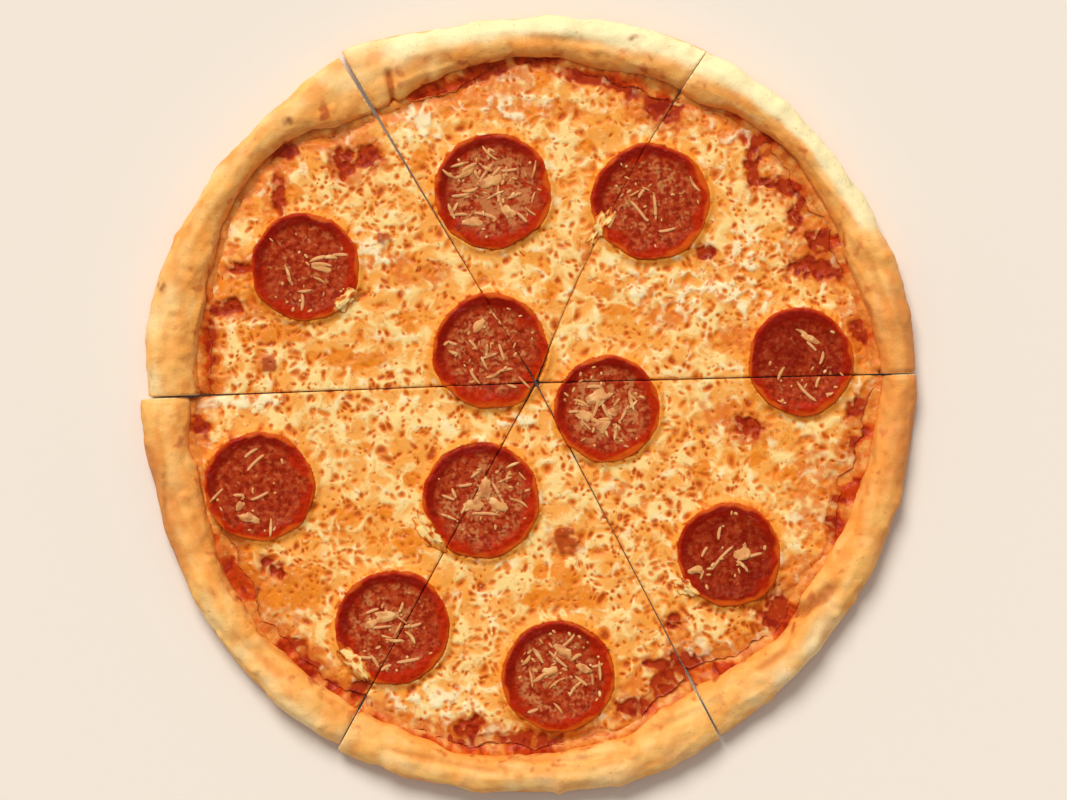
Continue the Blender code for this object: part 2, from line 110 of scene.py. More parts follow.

# Baked brown spots on the rim: place, size along X and Y, and strength. The broad ones at (117, -77), in
# the deep fold, and at (-107, 96) are painted shade rather than scorch.
SCORCHES_AND_PAINTED_SHADE = (
    (-94.0, 111.5, 3.0, 2.2, 1.0),
    (-144.3, 46.8, 2.6, 3.4, 1.0),
    (42.0, 144.5, 4.0, 2.0, 0.8),
    (-148.5, 8.0, 1.8, 12.0, 0.5),
    (-143.0, -32.0, 1.8, 16.0, 0.6),
    (117.0, -77.0, 7.0, 4.0, 0.5),
    (-107.0, 96.0, 7.0, 4.0, 0.2),
    (146.0, 31.0, 2.5, 6.0, 0.4),
)

# Tones round the rim, partly from uneven baking and partly painted light: pale ones on the upper outer
# faces at the top and upper right, toward the lamp, are partly painted highlight, and brown ones on the
# right are partly painted shade. Direction in degrees, half the stretch, and pale above 0 or brown below it
RIM_TONES_AND_PAINTED_LIGHT = (
    (92, 22, 0.8),
    (62, 16, 1.0),
    (42, 12, 0.9),
    (25, 8, 0.5),
    (8, 16, -0.9),
    (-12, 12, -0.4),
    (-42, 10, 0.5),
    (-95, 30, 0.15),
    (-135, 14, 0.3),
    (-164, 12, -0.6),
    (172, 14, 0.2),
    (134, 26, 0.15),
)


def colour(code):
    """Linear colour of an sRGB hex code."""
    parts = [int(code[i:i + 2], 16) / 255 for i in (1, 3, 5)]
    return tuple(c / 12.92 if c <= 0.04045 else ((c + 0.055) / 1.055) ** 2.4 for c in parts) + (1,)


def add(tree, kind, inputs, **settings):
    """Adds a node. Its inputs are numbers, colours, or sockets to link from."""
    node = tree.nodes.new(kind)
    for name, value in settings.items():
        setattr(node, name, value)
    for name, value in inputs.items():
        if isinstance(value, bpy.types.NodeSocket):
            tree.links.new(value, node.inputs[name])
        else:
            node.inputs[name].default_value = value
    return node


def painted(tree, base, coats):
    """Lays coats of colour over a base one after another. Each coat is a hex code and its share."""
    result = colour(base)
    for code, share in coats:
        mix = add(tree, "ShaderNodeMix", {0: share, 6: result, 7: colour(code)}, data_type="RGBA")
        result = mix.outputs[2]
    return result


def field(tree, name, low=0.0, high=1.0, to=1.0):
    """A value stored on the mesh, spread from low to high over 0 to the given number."""
    value = add(tree, "ShaderNodeAttribute", {}, attribute_name=name).outputs["Fac"]
    ends = {"Value": value, "From Min": low, "From Max": high, "To Max": to}
    return add(tree, "ShaderNodeMapRange", ends, interpolation_type="SMOOTHSTEP").outputs[0]


def grain(tree, size, low=0.35, high=0.65, to=1.0, detail=3.0):
    """Noise with features of a size in metres, spread from low to high over 0 to the given number."""
    place = add(tree, "ShaderNodeTexCoord", {}).outputs["Object"]
    value = add(tree, "ShaderNodeTexNoise", {"Vector": place, "Scale": 1 / size, "Detail": detail})
    ends = {"Value": value.outputs["Fac"], "From Min": low, "From Max": high, "To Max": to}
    return add(tree, "ShaderNodeMapRange", ends).outputs[0]


def new_material(name):
    """A material, its node tree and its shader."""
    material = bpy.data.materials.new(name)
    material.use_nodes = True
    return material, material.node_tree, material.node_tree.nodes["Principled BSDF"]


def vary_roughness(tree, shader, size, low, high):
    """Lets the roughness wander between two values, in patches of the given size."""
    rough = add(tree, "ShaderNodeMapRange", {"Value": grain(tree, size), "To Min": low, "To Max": high})
    tree.links.new(rough.outputs[0], shader.inputs["Roughness"])


def emboss(tree, shader, height, strength, depth):
    """Presses a fine relief into the surface, of the given depth in metres."""
    bump = add(tree, "ShaderNodeBump", {"Height": height, "Strength": strength, "Distance": depth})
    tree.links.new(bump.outputs[0], shader.inputs["Normal"])


def let_light_in(shader, weight, radius):
    """Lets some light scatter below the surface, red farther than blue."""
    shader.inputs["Subsurface Weight"].default_value = weight
    shader.inputs["Subsurface Radius"].default_value = radius
    shader.inputs["Subsurface Scale"].default_value = 1.0


def smooth(value, low=0.0, high=1.0):
    """0 up to low, 1 from high on, and an even curve between them."""
    share = np.clip((value - low) / (high - low), 0, 1)
    return share * share * (3 - 2 * share)


def noise(points, size, seed):
    """Smooth noise from about -1 to 1 with features of the given size in metres."""
    draw = np.random.default_rng(seed)
    slopes = draw.normal(size=(256, 3))
    slopes /= np.linalg.norm(slopes, axis=1)[:, None]
    mixed = draw.permutation(256)
    place = points / size
    low = np.floor(place).astype(int)
    rest = place - low
    fade = rest**3 * (rest * (rest * 6 - 15) + 10)
    total = np.zeros(len(points))
    for corner in np.ndindex(2, 2, 2):
        x, y, z = ((low + corner) % 256).T
        slope = slopes[mixed[(mixed[(mixed[x] + y) % 256] + z) % 256]]
        near = np.where(corner, fade, 1 - fade).prod(axis=1)
        total += near * ((rest - corner) * slope).sum(axis=1)
    return 1.7 * total


def spots(points, spacing, seed):
    """Scattered spots in plan: distance to the nearest as a share of their spacing, and its own number."""
    draw = np.random.default_rng(seed).random((64, 64, 3))
    plan = points[:, :2] / spacing
    low = np.floor(plan).astype(int)
    best = np.full(len(points), 9.0)
    own = np.zeros(len(points))
    for step in np.ndindex(3, 3):
        cell = low + step - np.array((1, 1))
        chance = draw[cell[:, 0] % 64, cell[:, 1] % 64]
        away = np.linalg.norm(plan - cell - 0.1 - 0.8 * chance[:, :2], axis=1)
        nearer = away < best
        best[nearer] = away[nearer]
        own[nearer] = chance[nearer, 2]
    return best, own


def cut_distance(points):
    """Distance in plan from the nearest cut, the way across it, and how far its sides draw together."""
    nearest = np.full(len(points), 1.0)
    across = np.zeros((len(points), 3))
    shift = np.zeros(len(points))
    for angle, bow, opened, tip_gap, rim_gap in CUTS:
        along = np.array((math.cos(math.radians(angle)), math.sin(math.radians(angle))))
        side = np.array((-along[1], along[0]))
        reach = (points[:, :2] - CROSSING) @ along
        share = np.clip(reach / CUT_LENGTH, 0, 1)
        aside = (points[:, :2] - CROSSING) @ side - bow * 4 * share * (1 - share)
        away = np.hypot(aside, np.minimum(reach, 0))
        closer = away < nearest
        nearest[closer] = away[closer]
        across[closer, :2] = np.sign(aside[closer])[:, None] * side
        cut = TIP_GAP + (opened - TIP_GAP) * share
        left = tip_gap + (rim_gap - tip_gap) * share**3
        spare = np.maximum(cut - left, 0) / 2 * smooth(reach, 2 * MM, 12 * MM)
        shift[closer] = (spare * smooth(4 * MM - away, 0, 3.5 * MM))[closer]
    return nearest, across, shift


def groove(points, x1, y1, x2, y2, half_width):
    """1 along a line in plan between two points in millimetres, falling to 0 beside it."""
    start, end = np.array((x1, y1)) * MM, np.array((x2, y2)) * MM
    run = end - start
    share = np.clip((points[:, :2] - start) @ run / (run @ run), 0, 1)
    away = np.linalg.norm(points[:, :2] - start - share[:, None] * run, axis=1)
    return np.exp(-((away / (half_width * MM)) ** 2)) * smooth(1 - abs(2 * share - 1) ** 3)


def blot(points, x, y, half_x, half_y):
    """1 at a place in plan in millimetres, falling to 0 outside an oval about it."""
    away = np.hypot((points[:, 0] / MM - x) / half_x, (points[:, 1] / MM - y) / half_y)
    return np.exp(-(away**2))


def fine_copy(node, name, size):
    """A copy of a CAD node as one smooth closed mesh, with even faces of the given size."""
    piece = bpy.data.objects.new(name, frame["nodes"][node].data.copy())
    bpy.context.scene.collection.objects.link(piece)
    bpy.ops.object.select_all(action="DESELECT")
    piece.select_set(True)
    bpy.context.view_layer.objects.active = piece
    bpy.ops.object.mode_set(mode="EDIT")
    bpy.ops.mesh.select_mode(type="EDGE")
    bpy.ops.mesh.select_all(action="SELECT")
    bpy.ops.mesh.remove_doubles(threshold=0.001 * MM)
    bpy.ops.mesh.select_all(action="DESELECT")
    bpy.ops.mesh.edges_select_sharp(sharpness=math.radians(50))
    bpy.ops.transform.edge_crease(value=1)
    bpy.ops.object.mode_set(mode="OBJECT")
    rounded = piece.modifiers.new("rounded", "SUBSURF")
    rounded.levels = rounded.render_levels = 2
    bpy.ops.object.modifier_apply(modifier="rounded")
    even = piece.modifiers.new("even", "REMESH")
    even.mode = "VOXEL"
    even.voxel_size = size
    bpy.ops.object.modifier_apply(modifier="even")
    bpy.ops.object.shade_smooth()
    piece.data.materials.clear()
    return piece


def thin_out(piece, height, share):
    """Merges the small faces inside a flat side at a given height, where nothing is seen close."""
    level = abs(read(piece.data.polygons, "normal")[:, 2]) > 0.95
    flat = level & (abs(read(piece.data.polygons, "center")[:, 2] - height) < 0.3 * MM)
    bpy.ops.object.mode_set(mode="EDIT")
    bpy.ops.mesh.select_mode(type="FACE")
    bpy.ops.mesh.select_all(action="DESELECT")
    bpy.ops.object.mode_set(mode="OBJECT")
    piece.data.polygons.foreach_set("select", flat)
    bpy.ops.object.mode_set(mode="EDIT")
    for _ in range(BORDER_ROWS):
        bpy.ops.mesh.select_less()
    bpy.ops.mesh.decimate(ratio=share)
    bpy.ops.object.mode_set(mode="OBJECT")


def read(items, name):
    """A vector of each vertex or face, as rows of an array."""
    values = np.zeros(len(items) * 3, np.float32)
    items.foreach_get(name, values)
    return values.reshape(-1, 3).astype(float)


def move_to(piece, points):
    """Moves the vertices of a piece."""
    piece.data.vertices.foreach_set("co", points.astype(np.float32).ravel())
    piece.data.update()


def store(piece, name, values):
    """Keeps one value for each vertex on the mesh, for its material to read."""
    attribute = piece.data.attributes.new(name, "FLOAT", "POINT")
    attribute.data.foreach_set("value", np.asarray(values, np.float32))


def dough_material():
    """Baked wheat dough: matt and golden, with a faint sheen of oil and fine pores."""
    dough, tree, shader = new_material("baked_dough")
    base = painted(tree, "#FBAF55", (
        ("#FFC26A", grain(tree, 14 * MM)),
        ("#F0943A", grain(tree, 7 * MM, 0.5, 0.7, 0.7)),
        ("#FFCB80", field(tree, "streak", 0.1, 0.9, 0.5)),
        ("#E4842E", field(tree, "streak", -0.1, -0.9, 0.5)),
        # The brown coat is partly baked colour and partly painted shade on the right of the rim; the pale
        # coat is partly baked colour and partly painted highlight on upper outer faces toward the lamp
        ("#DC8238", field(tree, "brown", 0.0, 1.0, 0.85)),
        ("#FFEDB6", field(tree, "pale", 0.0, 0.9, 0.9)),
        ("#CE7A30", field(tree, "wall", 0.0, 1.0, 0.85)),
        # Orange on the inner side of the rim: partly sauce stain, partly painted bounce light that
        # brightens its shade
        ("#FF9C3C", field(tree, "stain", 0.1, 1.0, 0.9)),
        # Dark red at the foot: partly sauce splashes, partly painted shade in the crevice where the rim
        # meets the sauce
        ("#B83E12", field(tree, "splash", 0.0, 1.0, 0.85)),
        # Darker brown in the folds: painted shade
        ("#B8601E", field(tree, "fold", 0.2, 1.0, 0.8)),
        # Brown spots: scorches, and two broad patches of painted shade in hollows
        ("#8E4A1C", field(tree, "scorch", 0.1, 1.0, 0.85)),
        ("#F2D6A0", field(tree, "crumb", 0.0, 1.0, 0.85)),
        ("#B8702C", grain(tree, 1.6 * MM, 0.62, 0.75, 0.4)),
    ))
    tree.links.new(base, shader.inputs["Base Color"])
    vary_roughness(tree, shader, 4 * MM, 0.5, 0.72)
    pores = grain(tree, 1.1 * MM, 0.3, 0.7, 1.0, 5.0)
    emboss(tree, shader, pores, 0.3, 0.3 * MM)
    shader.inputs["Specular IOR Level"].default_value = 0.25
    let_light_in(shader, 0.08, (2.0 * MM, 1.0 * MM, 0.5 * MM))
    return dough


def make_crust(number, dough):
    """The dough of one slice, with the swells, folds and tones of its rim."""
    node = f"crust_{number}"
    crust = fine_copy(node, f"baked_crust_{number}", CRUST_GRAIN)
    thin_out(crust, 0, CRUST_KEPT)
    thin_out(crust, BASE_TOP, CRUST_KEPT)
    points = read(crust.data.vertices, "co")
    normals = read(crust.data.vertices, "normal")
    away, across, shift = cut_distance(points)
    plan = points[:, :2]
    radius = np.linalg.norm(plan, axis=1)
    facing = (normals[:, :2] * plan).sum(axis=1) / radius
    rim = smooth(points[:, 2], 4.0 * MM, 6.5 * MM) * smooth(away, 0.3 * MM, 2.5 * MM)
    angle = np.arctan2(plan[:, 1], plan[:, 0])
    rolled = np.stack((angle * RIM_RADIUS / RIM_STRETCHED, radius, points[:, 2]), axis=1)

    swell = 1.1 * noise(points, 21 * MM, 1) + 0.7 * noise(points, 9 * MM, 2)
    swell += 0.3 * noise(points, 3.6 * MM, 3)
    swell += 0.9 * (0.4 - abs(noise(rolled, 7 * MM, 4)))
    distance, own = spots(points, 16 * MM, 8)
    swell += 0.9 * smooth(1 - distance / (0.16 + 0.2 * own)) * (own < 0.6)
    # How deep each point lies in a fold, for the painted shade in its hollow
    fold_shade_share = np.zeros(len(points))
    for x1, y1, x2, y2, half_width, depth in FOLDS:
        line = groove(points, x1, y1, x2, y2, half_width)
        fold_shade_share = np.maximum(fold_shade_share, line * min(depth / 2, 1))
        swell -= depth * line
    push = (swell * MM * rim)[:, None] * normals
    push -= ((push * across).sum(axis=1) * smooth(3 * MM - away, 0, 2 * MM))[:, None] * across
    points += push - (shift * smooth(points[:, 2], 1 * MM, 6 * MM))[:, None] * across
    points[:, 2] = np.maximum(points[:, 2], 0)
    move_to(crust, points)

    scorch_and_shade = np.zeros(len(points))
    for x, y, half_x, half_y, strength in SCORCHES_AND_PAINTED_SHADE:
        scorch_and_shade = np.maximum(scorch_and_shade, strength * blot(points, x, y, half_x, half_y))
    scorch_and_shade = scorch_and_shade * (0.8 + 0.6 * noise(points, 2.5 * MM, 5)) * rim
    # Tones round the rim: partly uneven baking, partly painted highlight toward the lamp and painted shade
    # on the right
    tone_and_painted_light = np.zeros(len(points))
    for middle, half_stretch, strength in RIM_TONES_AND_PAINTED_LIGHT:
        off = abs((np.degrees(angle) - middle + 180) % 360 - 180)
        tone_and_painted_light += strength * smooth(1.5 - off / half_stretch)
    tone_and_painted_light += 0.35 * noise(points, 11 * MM, 9)
    low_wall = smooth(6.5 * MM - points[:, 2], 0, 4 * MM) * smooth(facing, 0.1, 0.8)
    low_wall *= 1 - 0.9 * smooth(np.sin(angle), -0.2, 0.5)
    # Bright orange on the inner side of the rim: partly sauce stain, partly painted bounce light that lifts
    # the shade there
    inner_stain_and_bounce = smooth(-facing, -0.35, 0.3) * (0.5 + 0.5 * smooth(11.5 * MM - points[:, 2], 0, 6 * MM))
    inner_stain_and_bounce *= 0.8 + 0.8 * noise(points, 8 * MM, 6)
    blotches = noise(points, 6 * MM, 12) + 0.6 * noise(points, 2.5 * MM, 14)
    splash = inner_stain_and_bounce * smooth(blotches, 0.1, 0.7)
    # A dark band low on the inner side, in the crevice by the sauce: painted shade
    seam = smooth(-facing, 0.0, 0.5) * smooth(7.6 * MM - points[:, 2], 0, 2.6 * MM)
    splash = np.maximum(splash, seam * (0.65 + 0.6 * blotches))
    side = (abs((normals * across).sum(axis=1)) > 0.7) & (away < 1.6 * MM)

    store(crust, "streak", 1.4 * noise(rolled, 4.5 * MM, 7) + 0.6 * noise(points, 5 * MM, 10))
    # Pale: partly painted highlight on upper outer faces toward the lamp. Brown: partly painted shade on
    # the right
    store(crust, "pale", tone_and_painted_light * smooth(facing, -0.45, 0.35) * smooth(points[:, 2], 4 * MM, 8 * MM))
    store(crust, "brown", -tone_and_painted_light * (0.6 + 0.8 * smooth(facing, 0, 0.6)))
    store(crust, "wall", low_wall)
    store(crust, "stain", inner_stain_and_bounce)
    store(crust, "splash", splash)
    store(crust, "fold", fold_shade_share * rim)
    store(crust, "scorch", scorch_and_shade)
    store(crust, "crumb", side * smooth(points[:, 2], 0.8 * MM, 2 * MM))
    crust.data.materials.append(dough)
    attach(crust, "root")
    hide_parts(node)


baked_dough = dough_material()
for number in SLICES:
    make_crust(number, baked_dough)

# The tomato sauce
# Crushed tomatoes spread thin on the dough, which stayed wet and boiled up at the rim. It is laid on by
# ladle and shows dark red wherever the cheese left it bare.
SAUCE_GRAIN = 0.8 * MM
FLAT_KEPT = 0.03  # share of the small faces that stay on the underside of a layer
BOILED_UP = 1.9  # millimetres that the sauce stands higher at its edge
SAUCE_REACH = 2.3 * MM  # how far its edge runs under the foot of the rim
BOILED_WIDTH = 3 * MM

# Where the cheese is thin or gone over the sauce: place, half length, half width in millimetres, and turn
BARE_PLACES = (
    (-125.5, 22.0, 16.0, 2.4, 92),
    (-118.0, 38.5, 8.0, 3.0, 5),
    (-98.5, 83.0, 9.0, 2.2, 95),
    (-96.0, 100.5, 5.0, 3.2, 10),
    (-113.0, 54.0, 4.5, 2.6, 0),
    (-63.5, 98.0, 4.5, 4.0, 0),
    (-73.5, 96.0, 4.0, 6.5, 0),
    (-40.0, 123.0, 8.5, 4.0, 8),
    (-16.0, 132.5, 10.0, 3.6, 12),
    (2.0, 135.5, 9.0, 1.8, 2),
    (20.0, 129.5, 9.0, 2.4, -12),
    (38.0, 125.5, 10.0, 3.4, -18),
    (53.0, 117.0, 7.0, 6.0, -50),
    (-27.0, 127.0, 8.0, 2.4, 15),
    (82.0, 113.5, 4.6, 2.6, -30),
    (91.5, 104.0, 6.0, 2.8, -15),
    (88.5, 95.5, 8.5, 2.6, 88),
    (96.0, 88.0, 6.0, 2.0, 0),
    (103.5, 85.0, 4.4, 4.0, 0),
    (105.5, 75.0, 8.0, 2.6, 85),
    (114.0, 53.5, 11.0, 3.2, -8),
    (116.0, 64.5, 6.0, 4.0, 0),
    (131.0, 29.0, 5.0, 3.0, -60),
    (70.0, 60.0, 3.0, 3.0, 0),
    (-129.5, -9.0, 4.5, 2.6, -60),
    (-125.5, -53.5, 6.5, 3.0, -70),
    (-115.0, -68.0, 11.0, 3.8, -48),
    (-100.5, -64.0, 5.0, 3.2, -20),
    (-94.5, -95.0, 4.0, 3.0, -40),
    (-88.0, -101.5, 8.0, 4.2, -40),
    (-76.5, -111.0, 6.5, 2.4, -42),
    (-65.5, -109.0, 9.0, 2.6, 62),
    (-57.0, -127.0, 7.5, 2.4, -45),
    (-42.5, -132.8, 9.5, 3.0, -8),
    (-23.0, -127.0, 5.2, 3.8, 0),
    (-25.0, -133.5, 8.0, 1.8, -18),
    (1.0, -133.0, 10.0, 4.2, -4),
    (62.5, -102.5, 6.0, 5.0, -40),
    (78.0, -103.5, 12.0, 2.2, 8),
    (95.5, -96.5, 6.5, 2.6, 38),
    (97.5, -82.0, 6.0, 8.5, 0),
    (121.5, -46.5, 8.5, 2.6, 88),
    (127.5, -33.0, 9.0, 2.8, 42),
    (130.5, -12.5, 6.5, 2.6, 38),
    (129.0, -1.5, 4.5, 2.6, 30),
    (54.0, -110.5, 4.4, 6.0, -20),
    (43.0, -119.5, 7.5, 3.2, 5),
    (51.0, -102.5, 4.0, 2.4, 0),
    (57.0, -85.5, 3.2, 2.4, 0),
    (86.5, -9.0, 6.0, 4.0, -10),
)


def places_share(points, places, seed, grown=0.0):
    """1 inside any of the places, falling to 0 across their ragged edges, which may be grown."""
    ragged = 0.45 * noise(points, 6 * MM, seed) + 0.4 * noise(points, 2.4 * MM, seed + 1)
    share = np.zeros(len(points))
    for x, y, half_long, half_wide, turn in places:
        cosine, sine = math.cos(math.radians(turn)), math.sin(math.radians(turn))
        right, up = points[:, 0] / MM - x, points[:, 1] / MM - y
        along = (right * cosine + up * sine) / half_long
        beside = (up * cosine - right * sine) / half_wide
        share = np.maximum(share, smooth(1.35 + grown - np.hypot(along, beside) + ragged, 0, 0.7 + grown))
    return share


def clots(points):
    """Where the pulp of the tomatoes lies thick and dark."""
    return smooth(noise(points, 4 * MM, 13) + 0.6 * noise(points, 1.8 * MM, 15), -0.1, 0.5)


def sauce_material():
    """Cooked tomato pulp: dark red and wet, with orange oil where it is thin."""
    tomato, tree, shader = new_material("cooked_tomato_sauce")
    base = painted(tree, "#E68A38", (
        ("#D0601E", grain(tree, 6 * MM, 0.45, 0.62, 0.85)),
        ("#F0AC5C", grain(tree, 3.5 * MM, 0.52, 0.68, 0.7)),
        ("#DC5A12", field(tree, "deep", 0.0, 0.5, 0.9)),
        ("#C23804", field(tree, "deep", 0.5, 1.0, 0.9)),
        ("#901400", field(tree, "clot", 0.0, 1.0, 0.75)),
    ))
    tree.links.new(base, shader.inputs["Base Color"])
    shader.inputs["Roughness"].default_value = 0.3
    shader.inputs["IOR"].default_value = 1.4
    shader.inputs["Specular IOR Level"].default_value = 0.18
    pulp = grain(tree, 1.3 * MM, 0.3, 0.7, 1.0, 4.0)
    emboss(tree, shader, pulp, 0.35, 0.4 * MM)
    return tomato


def wall_distance(points, normals, away):
    """Distance from the nearest wall that is not the side of a cut."""
    wall = points[(abs(normals[:, 2]) < 0.75) & (away > 2 * MM)]
    tree = kdtree.KDTree(len(wall))
    for index, point in enumerate(wall):
        tree.insert(point, index)
    tree.balance()
    return np.array([tree.find(point)[2] for point in points])


def make_sauce(number, tomato):
    """The sauce of one slice, lumpy with pulp and higher at its edge."""
    node = f"sauce_{number}"
    sauce = fine_copy(node, f"tomato_sauce_{number}", SAUCE_GRAIN)
    thin_out(sauce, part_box(node)[0].z, FLAT_KEPT)
    points = read(sauce.data.vertices, "co")
    normals = read(sauce.data.vertices, "normal")
    away, across, shift = cut_distance(points)
    edge = wall_distance(points, normals, away)
    deep = places_share(points, BARE_PLACES, 31)
    top = smooth(normals[:, 2], 0.2, 0.8) * smooth(away, 0, 2 * MM)
    pulp = 0.5 * noise(points, 5 * MM, 11) + 0.4 * noise(points, 2.4 * MM, 12)
    boiled = BOILED_UP * smooth(BOILED_WIDTH - edge, 0, BOILED_WIDTH) * (1 - 0.5 * deep)
    points[:, 2] += top * (0.15 + pulp + boiled) * MM
    outward = points[:, :2] / np.linalg.norm(points[:, :2], axis=1)[:, None]
    points[:, :2] += outward * (SAUCE_REACH * smooth(1.6 * MM - edge, 0, 1.6 * MM))[:, None]
    points -= shift[:, None] * across
    move_to(sauce, points)
    store(sauce, "deep", deep)
    store(sauce, "clot", deep * clots(points))
    sauce.data.materials.append(tomato)
    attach(sauce, "root")
    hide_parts(node)


tomato_sauce = sauce_material()
for number in SLICES:
    make_sauce(number, tomato_sauce)

# The melted cheese
# Shredded mozzarella that melted into one blanket: cream where it is thick, orange where its oil came out,
# with small browned pits between the strands, and red where it is thin over the sauce. Along the cuts and
# along its outer edge it is also darkened with painted shade.
CHEESE_GRAIN = 0.5 * MM
CHEESE_TOP = 7.0 * MM
DISC_UNDERSIDE = 7.3 * MM
DISC_SEAT = DISC_UNDERSIDE - 0.15 * MM
SAUCE_TOP = 4.7 * MM
SKIN = 0.35 * MM  # the least that the cheese stands above the sauce
EDGE_WIDTH = 3.4 * MM
EDGE_THINNED = 1.8 * MM
EDGE_FLARE = 1.3 * MM
CLIMB = 1.5  # millimetres that the cheese climbs up the edge of a disc
CLIMB_WIDTH = 1.6 * MM

# Places in the same terms as those of the bare sauce: where red shows through the cheese, where it is thick
# and pale, where its oil stands, where it has more holes, and where it rose in brown blisters
BLUSH_PLACES = (
    (115.0, 60.0, 15.0, 10.0, 0),
    (-68.0, 97.0, 14.0, 9.0, 10),
    (-100.0, 84.0, 6.0, 12.0, 0),
    (-112.0, 39.0, 11.0, 6.0, 0),
    (-128.0, 25.0, 5.0, 20.0, 0),
    (-130.0, -6.0, 5.0, 13.0, 0),
    (-110.0, 55.0, 9.0, 6.0, 0),
    (50.0, 118.0, 18.0, 9.0, -20),
    (-42.0, 121.0, 14.0, 9.0, 10),
    (-8.0, 131.0, 30.0, 5.0, 6),
    (-22.0, 124.0, 24.0, 5.0, 5),
    (75.0, 110.0, 12.0, 6.0, -30),
    (96.0, 88.0, 12.0, 8.0, -40),
    (80.0, 26.0, 9.0, 6.0, 0),
    (54.0, 36.0, 9.0, 6.0, -10),
    (112.0, 75.0, 8.0, 9.0, 0),
    (130.0, 30.0, 7.0, 13.0, 10),
    (80.0, -6.0, 15.0, 8.0, -20),
    (97.0, -82.0, 10.0, 12.0, 0),
    (130.0, -10.0, 7.0, 12.0, 0),
    (123.0, -40.0, 8.0, 14.0, -20),
    (110.0, -62.0, 11.0, 4.0, 5),
    (-112.0, -68.0, 15.0, 8.0, -52),
    (-92.0, -80.0, 6.0, 7.0, 0),
    (-92.0, -98.0, 16.0, 8.0, -42),
    (48.0, -112.0, 14.0, 10.0, 30),
    (66.0, -101.0, 14.0, 6.0, 0),
    (-50.0, -130.0, 14.0, 5.0, -30),
    (-20.0, -129.0, 14.0, 6.0, -5),
    (4.0, -132.0, 18.0, 6.0, 0),
    (-50.0, 54.0, 6.0, 8.0, 20),
    (-36.0, 52.0, 6.0, 5.0, 0),
    (22.0, 58.0, 3.0, 5.0, 0),
    (14.0, -54.0, 9.0, 7.0, 0),
    (-105.0, 17.0, 4.0, 5.0, 0),
    (36.0, -33.0, 4.0, 4.0, 0),
    (-3.0, 117.0, 30.0, 4.0, 0),
    (111.0, -30.0, 8.0, 24.0, 0),
    (60.0, -95.0, 8.0, 10.0, 0),
)
CREAM_PLACES = (
    (68.0, 45.0, 13.0, 9.0, 10),
    (44.0, 47.0, 9.0, 6.0, 0),
    (88.0, 41.0, 12.0, 6.0, -10),
    (-110.0, 2.0, 20.0, 4.0, 3),
    (-38.0, -116.0, 18.0, 6.0, -8),
    (72.0, -99.0, 12.0, 6.0, 10),
    (-5.0, 118.0, 13.0, 6.0, 0),
    (-43.0, 110.0, 8.0, 6.0, 0),
    (85.0, 110.0, 7.0, 7.0, 0),
    (86.0, 60.0, 7.0, 12.0, 0),
    (-5.0, -6.0, 7.0, 3.0, 0),
    (-60.0, 60.0, 8.0, 6.0, 0),
)
OIL_PLACES = (
    (68.0, -25.0, 4.0, 3.2, 0),
    (101.0, -27.5, 4.6, 3.4, 0),
    (89.0, -21.0, 2.8, 2.8, 0),
    (-48.0, 33.0, 3.4, 4.4, 0),
    (14.0, -66.0, 5.0, 6.0, 0),
    (-92.0, 84.0, 3.4, 3.0, 0),
    (-118.0, 46.0, 6.0, 4.0, 20),
    (5.0, 129.0, 3.4, 3.0, 0),
    (1.0, 115.0, 3.2, 5.0, 0),
    (23.0, 103.0, 3.0, 3.0, 0),
    (30.0, 46.0, 4.0, 4.0, 0),
    (9.0, 44.0, 3.0, 3.6, 0),
    (35.0, 37.0, 6.0, 2.2, 0),
    (-63.0, -17.0, 2.6, 3.0, 0),
    (-72.0, -44.0, 5.0, 4.0, 0),
    (-57.0, -42.0, 3.4, 2.6, 0),
    (-48.0, -54.0, 5.0, 5.0, 0),
    (-110.0, -66.0, 4.0, 3.0, 0),
    (5.0, -66.0, 2.6, 3.2, 0),
    (20.0, -74.0, 6.0, 4.0, 0),
    (120.0, 66.0, 4.0, 4.0, 0),
    (-43.0, 97.0, 3.6, 3.4, 0),
    (-46.0, -29.0, 3.4, 3.0, 0),
    (-92.0, -72.0, 13.0, 10.0, 0),
    (12.0, -77.0, 18.0, 4.0, 0),
    (-100.0, 28.0, 14.0, 4.0, 0),
    (-70.0, 18.0, 14.0, 4.0, 0),
)
FRECKLED_PLACES = (
    (60.0, -50.0, 30.0, 26.0, 0),
    (95.0, 45.0, 26.0, 22.0, 0),
    (-60.0, 85.0, 26.0, 16.0, 20),
    (-70.0, -62.0, 24.0, 18.0, 0),
    (-100.0, 20.0, 16.0, 22.0, 0),
    (-20.0, -95.0, 18.0, 12.0, 0),
    (70.0, -80.0, 24.0, 14.0, 0),
)
BLISTER_PLACES = (
    (14.4, -53.3, 4.6, 4.4, 0),
    (-102.0, 16.0, 3.0, 3.0, 0),
    (-57.0, 66.0, 3.0, 2.4, 0),
)


def disc_places():
    """Middle and radius of each whole pepperoni disc, from the pieces that it was cut into."""
    corners = {}
    for node in frame["nodes"]:
        if node.startswith("pepperoni"):
            low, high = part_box(node)
            corners.setdefault(node.split("_")[1], []).append((low, high))
    found = {}
    for disc, boxes in corners.items():
        low = np.min([low for low, high in boxes], axis=0)
        high = np.max([high for low, high in boxes], axis=0)
        found[disc] = ((low[:2] + high[:2]) / 2, (high[:2] - low[:2]).mean() / 2)
    return found


DISCS = disc_places()

# The browned holes of the cheese, four kinds: spacing, least and most size as shares of it, and how many
# of the places have one
HOLES = (
    (7.5 * MM, 0.18, 0.42, 0.9),
    (5.2 * MM, 0.2, 0.42, 0.75),
    (12.0 * MM, 0.14, 0.28, 0.7),
    (3.4 * MM, 0.24, 0.48, 0.6),
)


